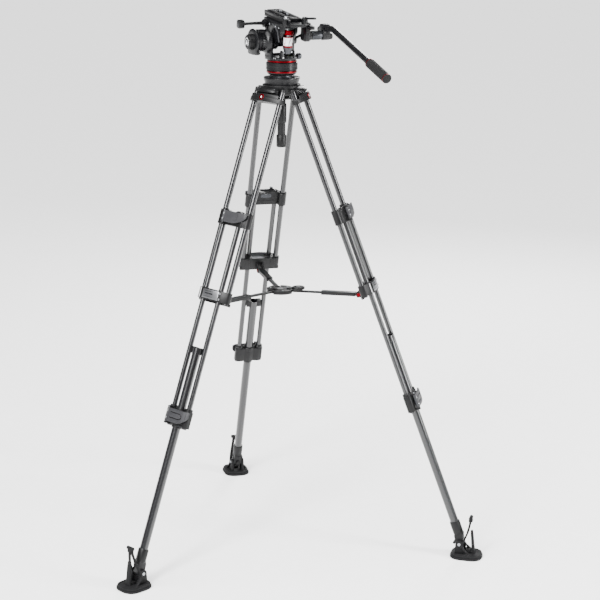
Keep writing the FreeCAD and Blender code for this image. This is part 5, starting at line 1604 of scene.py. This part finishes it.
        knob.lathe([(0, 0), (7, 0), (8.2, 1), (8.6, 2.4), (8.6, 9.8), (7.8, 11.6), (6, 12.4), (0, 12.5)],
                   (x + 11.5, y, z - 5), (x + 30, y, z - 5), MOULDING, 40)
        knob.done("clamp_knob", "black_plastic", "clamp_knob")
        turn = Matrix.Translation((x + 17.6, y, z - 5)) @ Matrix.Rotation(pi / 2, 4, "Y")
        ribs("clamp_knob_ribs", self.frame @ turn, 8.5, 12, (1.0, 2.0, 8), 0, MOULDING, "clamp_knob", "black_plastic")

    def bar(self) -> None:
        """Makes the cranked pan bar and its ringed rubber grip."""
        x, radius = self.bar_x, self.bar_radius
        drop = radians(11.9)
        run = Vector((0, -cos(drop), -sin(drop)))
        front, bend = Vector((x, -50, 40)), Vector((x, -127.5, 55.8))
        line = [front, front.lerp(bend, 0.4), front.lerp(bend, 0.8)]
        before, after = bend - (bend - front).normalized() * 11, bend + run * 11
        for k in range(1, 8):
            t = k / 8
            line.append(before * (1 - t) ** 2 + bend * 2 * t * (1 - t) + after * t ** 2)
        line += [bend + run * d for d in (14, 60, 120, 180, 232)]
        piece = Piece("pan_handle", self.frame)
        piece.sweep([tuple(p) for p in line], ring_points(radius - 0.05, (0, 0), 32), HEAD_CASTING)
        piece.lathe([(0, 0), (8, 0), (9.2, 0.8), (9.2, 3.2), (8.4, 4), (0, 4)],
                    tuple(front + (front - bend).normalized() * -3.8), tuple(front + (front - bend).normalized() * 8),
                    MOULDING, 32)
        piece.done("bar", "head_casting", "pan_bar")
        grip = Piece("pan_handle_grip", self.frame)
        start = bend + run * 233
        profile = [(9.2, 0), (12.4, 0), (13.4, 0.8), (13.6, 2), (13.6, 6)]
        for k in range(30):
            at = 7 + 3.1 * k
            profile += [(13.9, at), (13.9, at + 2.2), (13.45, at + 2.5), (13.45, at + 2.8)]
        profile += [(13.6, 101), (13.6, 105), (12.6, 107.2), (10, 108), (0, 108)]
        grip.lathe([(0, 0)] + profile, tuple(start), tuple(start + run * 10), RUBBER, 48)
        for at in (2.4, 101.4):
            grip.lathe([(0, at), (13.0, at), (13.9, at + 0.3), (13.9, at + 2.9), (13.0, at + 3.2), (0, at + 3.2)],
                       tuple(start), tuple(start + run * 10), RED, 48)
        grip.done("bar", "rubber", "grip")


# ---------------------------------------------------------------------------------------------
# Counterbalance
# ---------------------------------------------------------------------------------------------
@dataclass
class Counterbalance:
    """The striped cylinder and rod behind the tilt axis."""

    x: float = -4.0
    base: Point2 = (-44.0, 1505.0)
    top: Point2 = (-50.0, 1573.0)
    radius: float = 16.0

    def build(self) -> None:
        """Makes the cylinder and the rod."""
        lean = hypot(self.top[0] - self.base[0], self.top[1] - self.base[1])
        self.up = Vector((0, (self.top[0] - self.base[0]) / lean, (self.top[1] - self.base[1]) / lean))
        self.cylinder()
        self.rod()

    def local(self, at: Point2) -> Matrix:
        """Returns the frame whose Z runs up the cylinder from one of its pivots."""
        across = Vector((1, 0, 0))
        turn = Matrix((across, self.up.cross(across), self.up)).transposed().to_4x4()
        return LAYOUT.head() @ Matrix.Translation((self.x, at[0], at[1])) @ turn

    def cylinder(self) -> None:
        """Makes the printed cylinder with its red collars and grey foot."""
        piece = Piece("counterbalance_barrel", self.local(self.base))
        piece.lathe([(0, -4.8), (8, -4.8), (10.4, -3), (11.0, 4), (13.6, 11), (14.0, 12.5), (14.0, 15.6), (8.8, 15.6),
                     (8.8, 3.6), (0, 3.6)], (0, 0, 0), (0, 0, 1), GREY, 56)
        piece.hoop([(8.7, 15.6), (14.4, 15.6), (14.8, 16.2), (14.8, 19.6), (14.4, 20.2), (8.7, 20.2)], (0, 0), RED, 56)
        piece.hoop([(8.7, 20.2), (12.9, 20.2), (12.9, 43.6), (8.7, 43.6)], (0, 0), WHITE_INK, 56)
        piece.hoop([(8.7, 43.6), (13.4, 43.6), (13.6, 44.0), (13.6, 45.6), (13.2, 46), (8.7, 46)], (0, 0), RED, 56)
        piece.rod(3, (-21.2, 0, 0), (21.2, 0, 0), STEEL, 0.3, 20)
        for k in range(6):
            middle = radians(-90 + 60 * k)
            stripe = []
            steps = 8
            for j in range(steps + 1):
                a = middle + radians(-15 + 24 * j / steps)
                zig = 22.6 + 18 * j / steps + (3.4 if 2 < j < 6 else 0) * (-1 if k % 2 else 0.4)
                stripe.append((a, min(41.4, zig)))
            part = bmesh.new()
            rows = []
            for a, z in stripe:
                low, high = max(20.4, z - 2.8), min(43.4, z + 2.8)
                rows.append([part.verts.new((r * cos(a), r * sin(a), h)) for r, h in
                             ((12.6, low), (13.1, low), (13.1, high), (12.6, high))])
            for one, two in zip(rows, rows[1:]):
                for i in range(4):
                    j = (i + 1) % 4
                    part.faces.new((one[i], one[j], two[j], two[i]))
            part.faces.new(rows[0])
            part.faces.new(list(reversed(rows[-1])))
            piece.take(part, RED_INK if k % 3 else MOULDING, 0)
        piece.done("piston_barrel", "silver", "counterbalance_cylinder")

    def rod(self) -> None:
        """Makes the rod and its upper eye."""
        piece = Piece("counterbalance_shaft", self.local(self.top))
        piece.rod(6.9, (0, 0, -47), (0, 0, -2), STEEL, 0.8, 36)
        # The collar is a cup, because the cylinder's top passes up inside it as the head tilts back.
        piece.hoop([(13.9, -16.5), (15.2, -16.5), (15.8, -15.8), (15.8, -4.4), (14.8, -3.2), (6.5, -3.2), (6.5, -4.6),
                    (13.9, -4.6)], (0, 0), RED, 56)
        piece.rod(4.9, (-12, 0, 0), (12, 0, 0), SILVER, 0.6, 28)
        piece.rod(3, (-27.8, 0, 0), (22.8, 0, 0), STEEL, 0.3, 20)
        piece.done("piston_rod", "steel", "counterbalance_rod")


# ---------------------------------------------------------------------------------------------
# Studio
# ---------------------------------------------------------------------------------------------
@dataclass(frozen=True)
class Light:
    """A soft studio light."""

    name: str
    place: Point3
    target: Point3
    power: float
    width: float
    height: float

    def build(self) -> None:
        """Puts the light in the scene."""
        data = bpy.data.lights.new(self.name, "AREA")
        data.shape = "RECTANGLE"
        data.energy, data.size, data.size_y = self.power, self.width, self.height
        held = bpy.data.objects.new(self.name, data)
        held.location = self.place
        held.rotation_euler = (Vector(self.target) - Vector(self.place)).to_track_quat("-Z", "Y").to_euler()
        bpy.context.scene.collection.objects.link(held)


@dataclass
class Studio:
    """A pale floor, a white surround, soft lights and the camera."""

    place: Point3 = (-1.2785, -4.8560, 2.0403)
    azimuth: float = 76.81
    pitch: float = -14.46
    lens: float = 103.0
    shift: Point2 = (0.1084, 0.0058)

    def build(self) -> None:
        """Makes the studio."""
        self.floor()
        self.lights()
        self.camera()

    def floor(self) -> None:
        """Makes the flat floor and the light that surrounds it."""
        paint = Finish("matt_white_floor", "f4f4f4", 0.8, grain_mm=3.0, grain_depth=0.03, blotch=0.01)
        half_side_m = 60
        sheet = bmesh.new()
        bmesh.ops.create_grid(sheet, x_segments=8, y_segments=8, size=half_side_m)
        mesh = bpy.data.meshes.new("floor")
        sheet.to_mesh(mesh)
        sheet.free()
        mesh.materials.append(paint.material())
        mesh.transform(Matrix.Translation((0, 0, -0.0005)))
        ground = bpy.data.objects.new("floor", mesh)
        bpy.context.scene.collection.objects.link(ground)
        world = bpy.data.worlds.new("surround")
        bpy.context.scene.world = world
        world.use_nodes = True
        back = world.node_tree.nodes["Background"]
        back.inputs["Color"].default_value = srgb("ffffff")
        path = add(world.node_tree, "ShaderNodeLightPath").outputs["Is Camera Ray"]
        level = add(world.node_tree, "ShaderNodeMapRange", {"Value": path, "To Min": 0.2, "To Max": 3.2})
        world.node_tree.links.new(level.outputs["Result"], back.inputs["Strength"])

    def lights(self) -> None:
        """Makes a key, a fill, a rim light for the tubes' long highlights, and a soft overhead sun."""
        for light in (
            Light("key", (-2.6, -2.6, 3.4), (0, 0, 0.9), 420, 0.9, 2.8),
            Light("fill", (3.2, -2.2, 2.2), (0, 0, 0.8), 300, 0.8, 2.8),
            Light("rim", (1.8, 3.0, 2.8), (0, 0, 1.0), 150, 0.9, 2.6),
                    ):
            light.build()
        sky = bpy.data.lights.new("overhead", "SUN")
        sky.energy, sky.angle = 7.5, radians(70)
        held = bpy.data.objects.new("overhead", sky)
        held.rotation_euler = (radians(18), radians(-22), 0)
        bpy.context.scene.collection.objects.link(held)

    def camera(self) -> None:
        """Makes the camera."""
        data = bpy.data.cameras.new("camera")
        data.lens, data.sensor_width = self.lens, 36.0
        data.shift_x, data.shift_y = self.shift
        data.clip_start, data.clip_end = 0.1, 60
        held = bpy.data.objects.new("camera", data)
        held.location = self.place
        a, e = radians(self.azimuth), radians(self.pitch)
        ahead = Vector((cos(a) * cos(e), sin(a) * cos(e), sin(e)))
        held.rotation_euler = ahead.to_track_quat("-Z", "Y").to_euler()
        bpy.context.scene.collection.objects.link(held)
        bpy.context.scene.camera = held


def main() -> None:
    """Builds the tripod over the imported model."""
    logging.basicConfig(level=logging.INFO, format="%(name)s %(message)s")
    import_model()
    for number, azimuth in enumerate(LAYOUT.leg_azimuths, 1):
        Leg(number, azimuth).build()
    for unit in (Spreader(), Bowl(), PanUnit(), TiltUnit(), Counterbalance(), Studio()):
        unit.build()


if __name__ == "__main__":
    main()
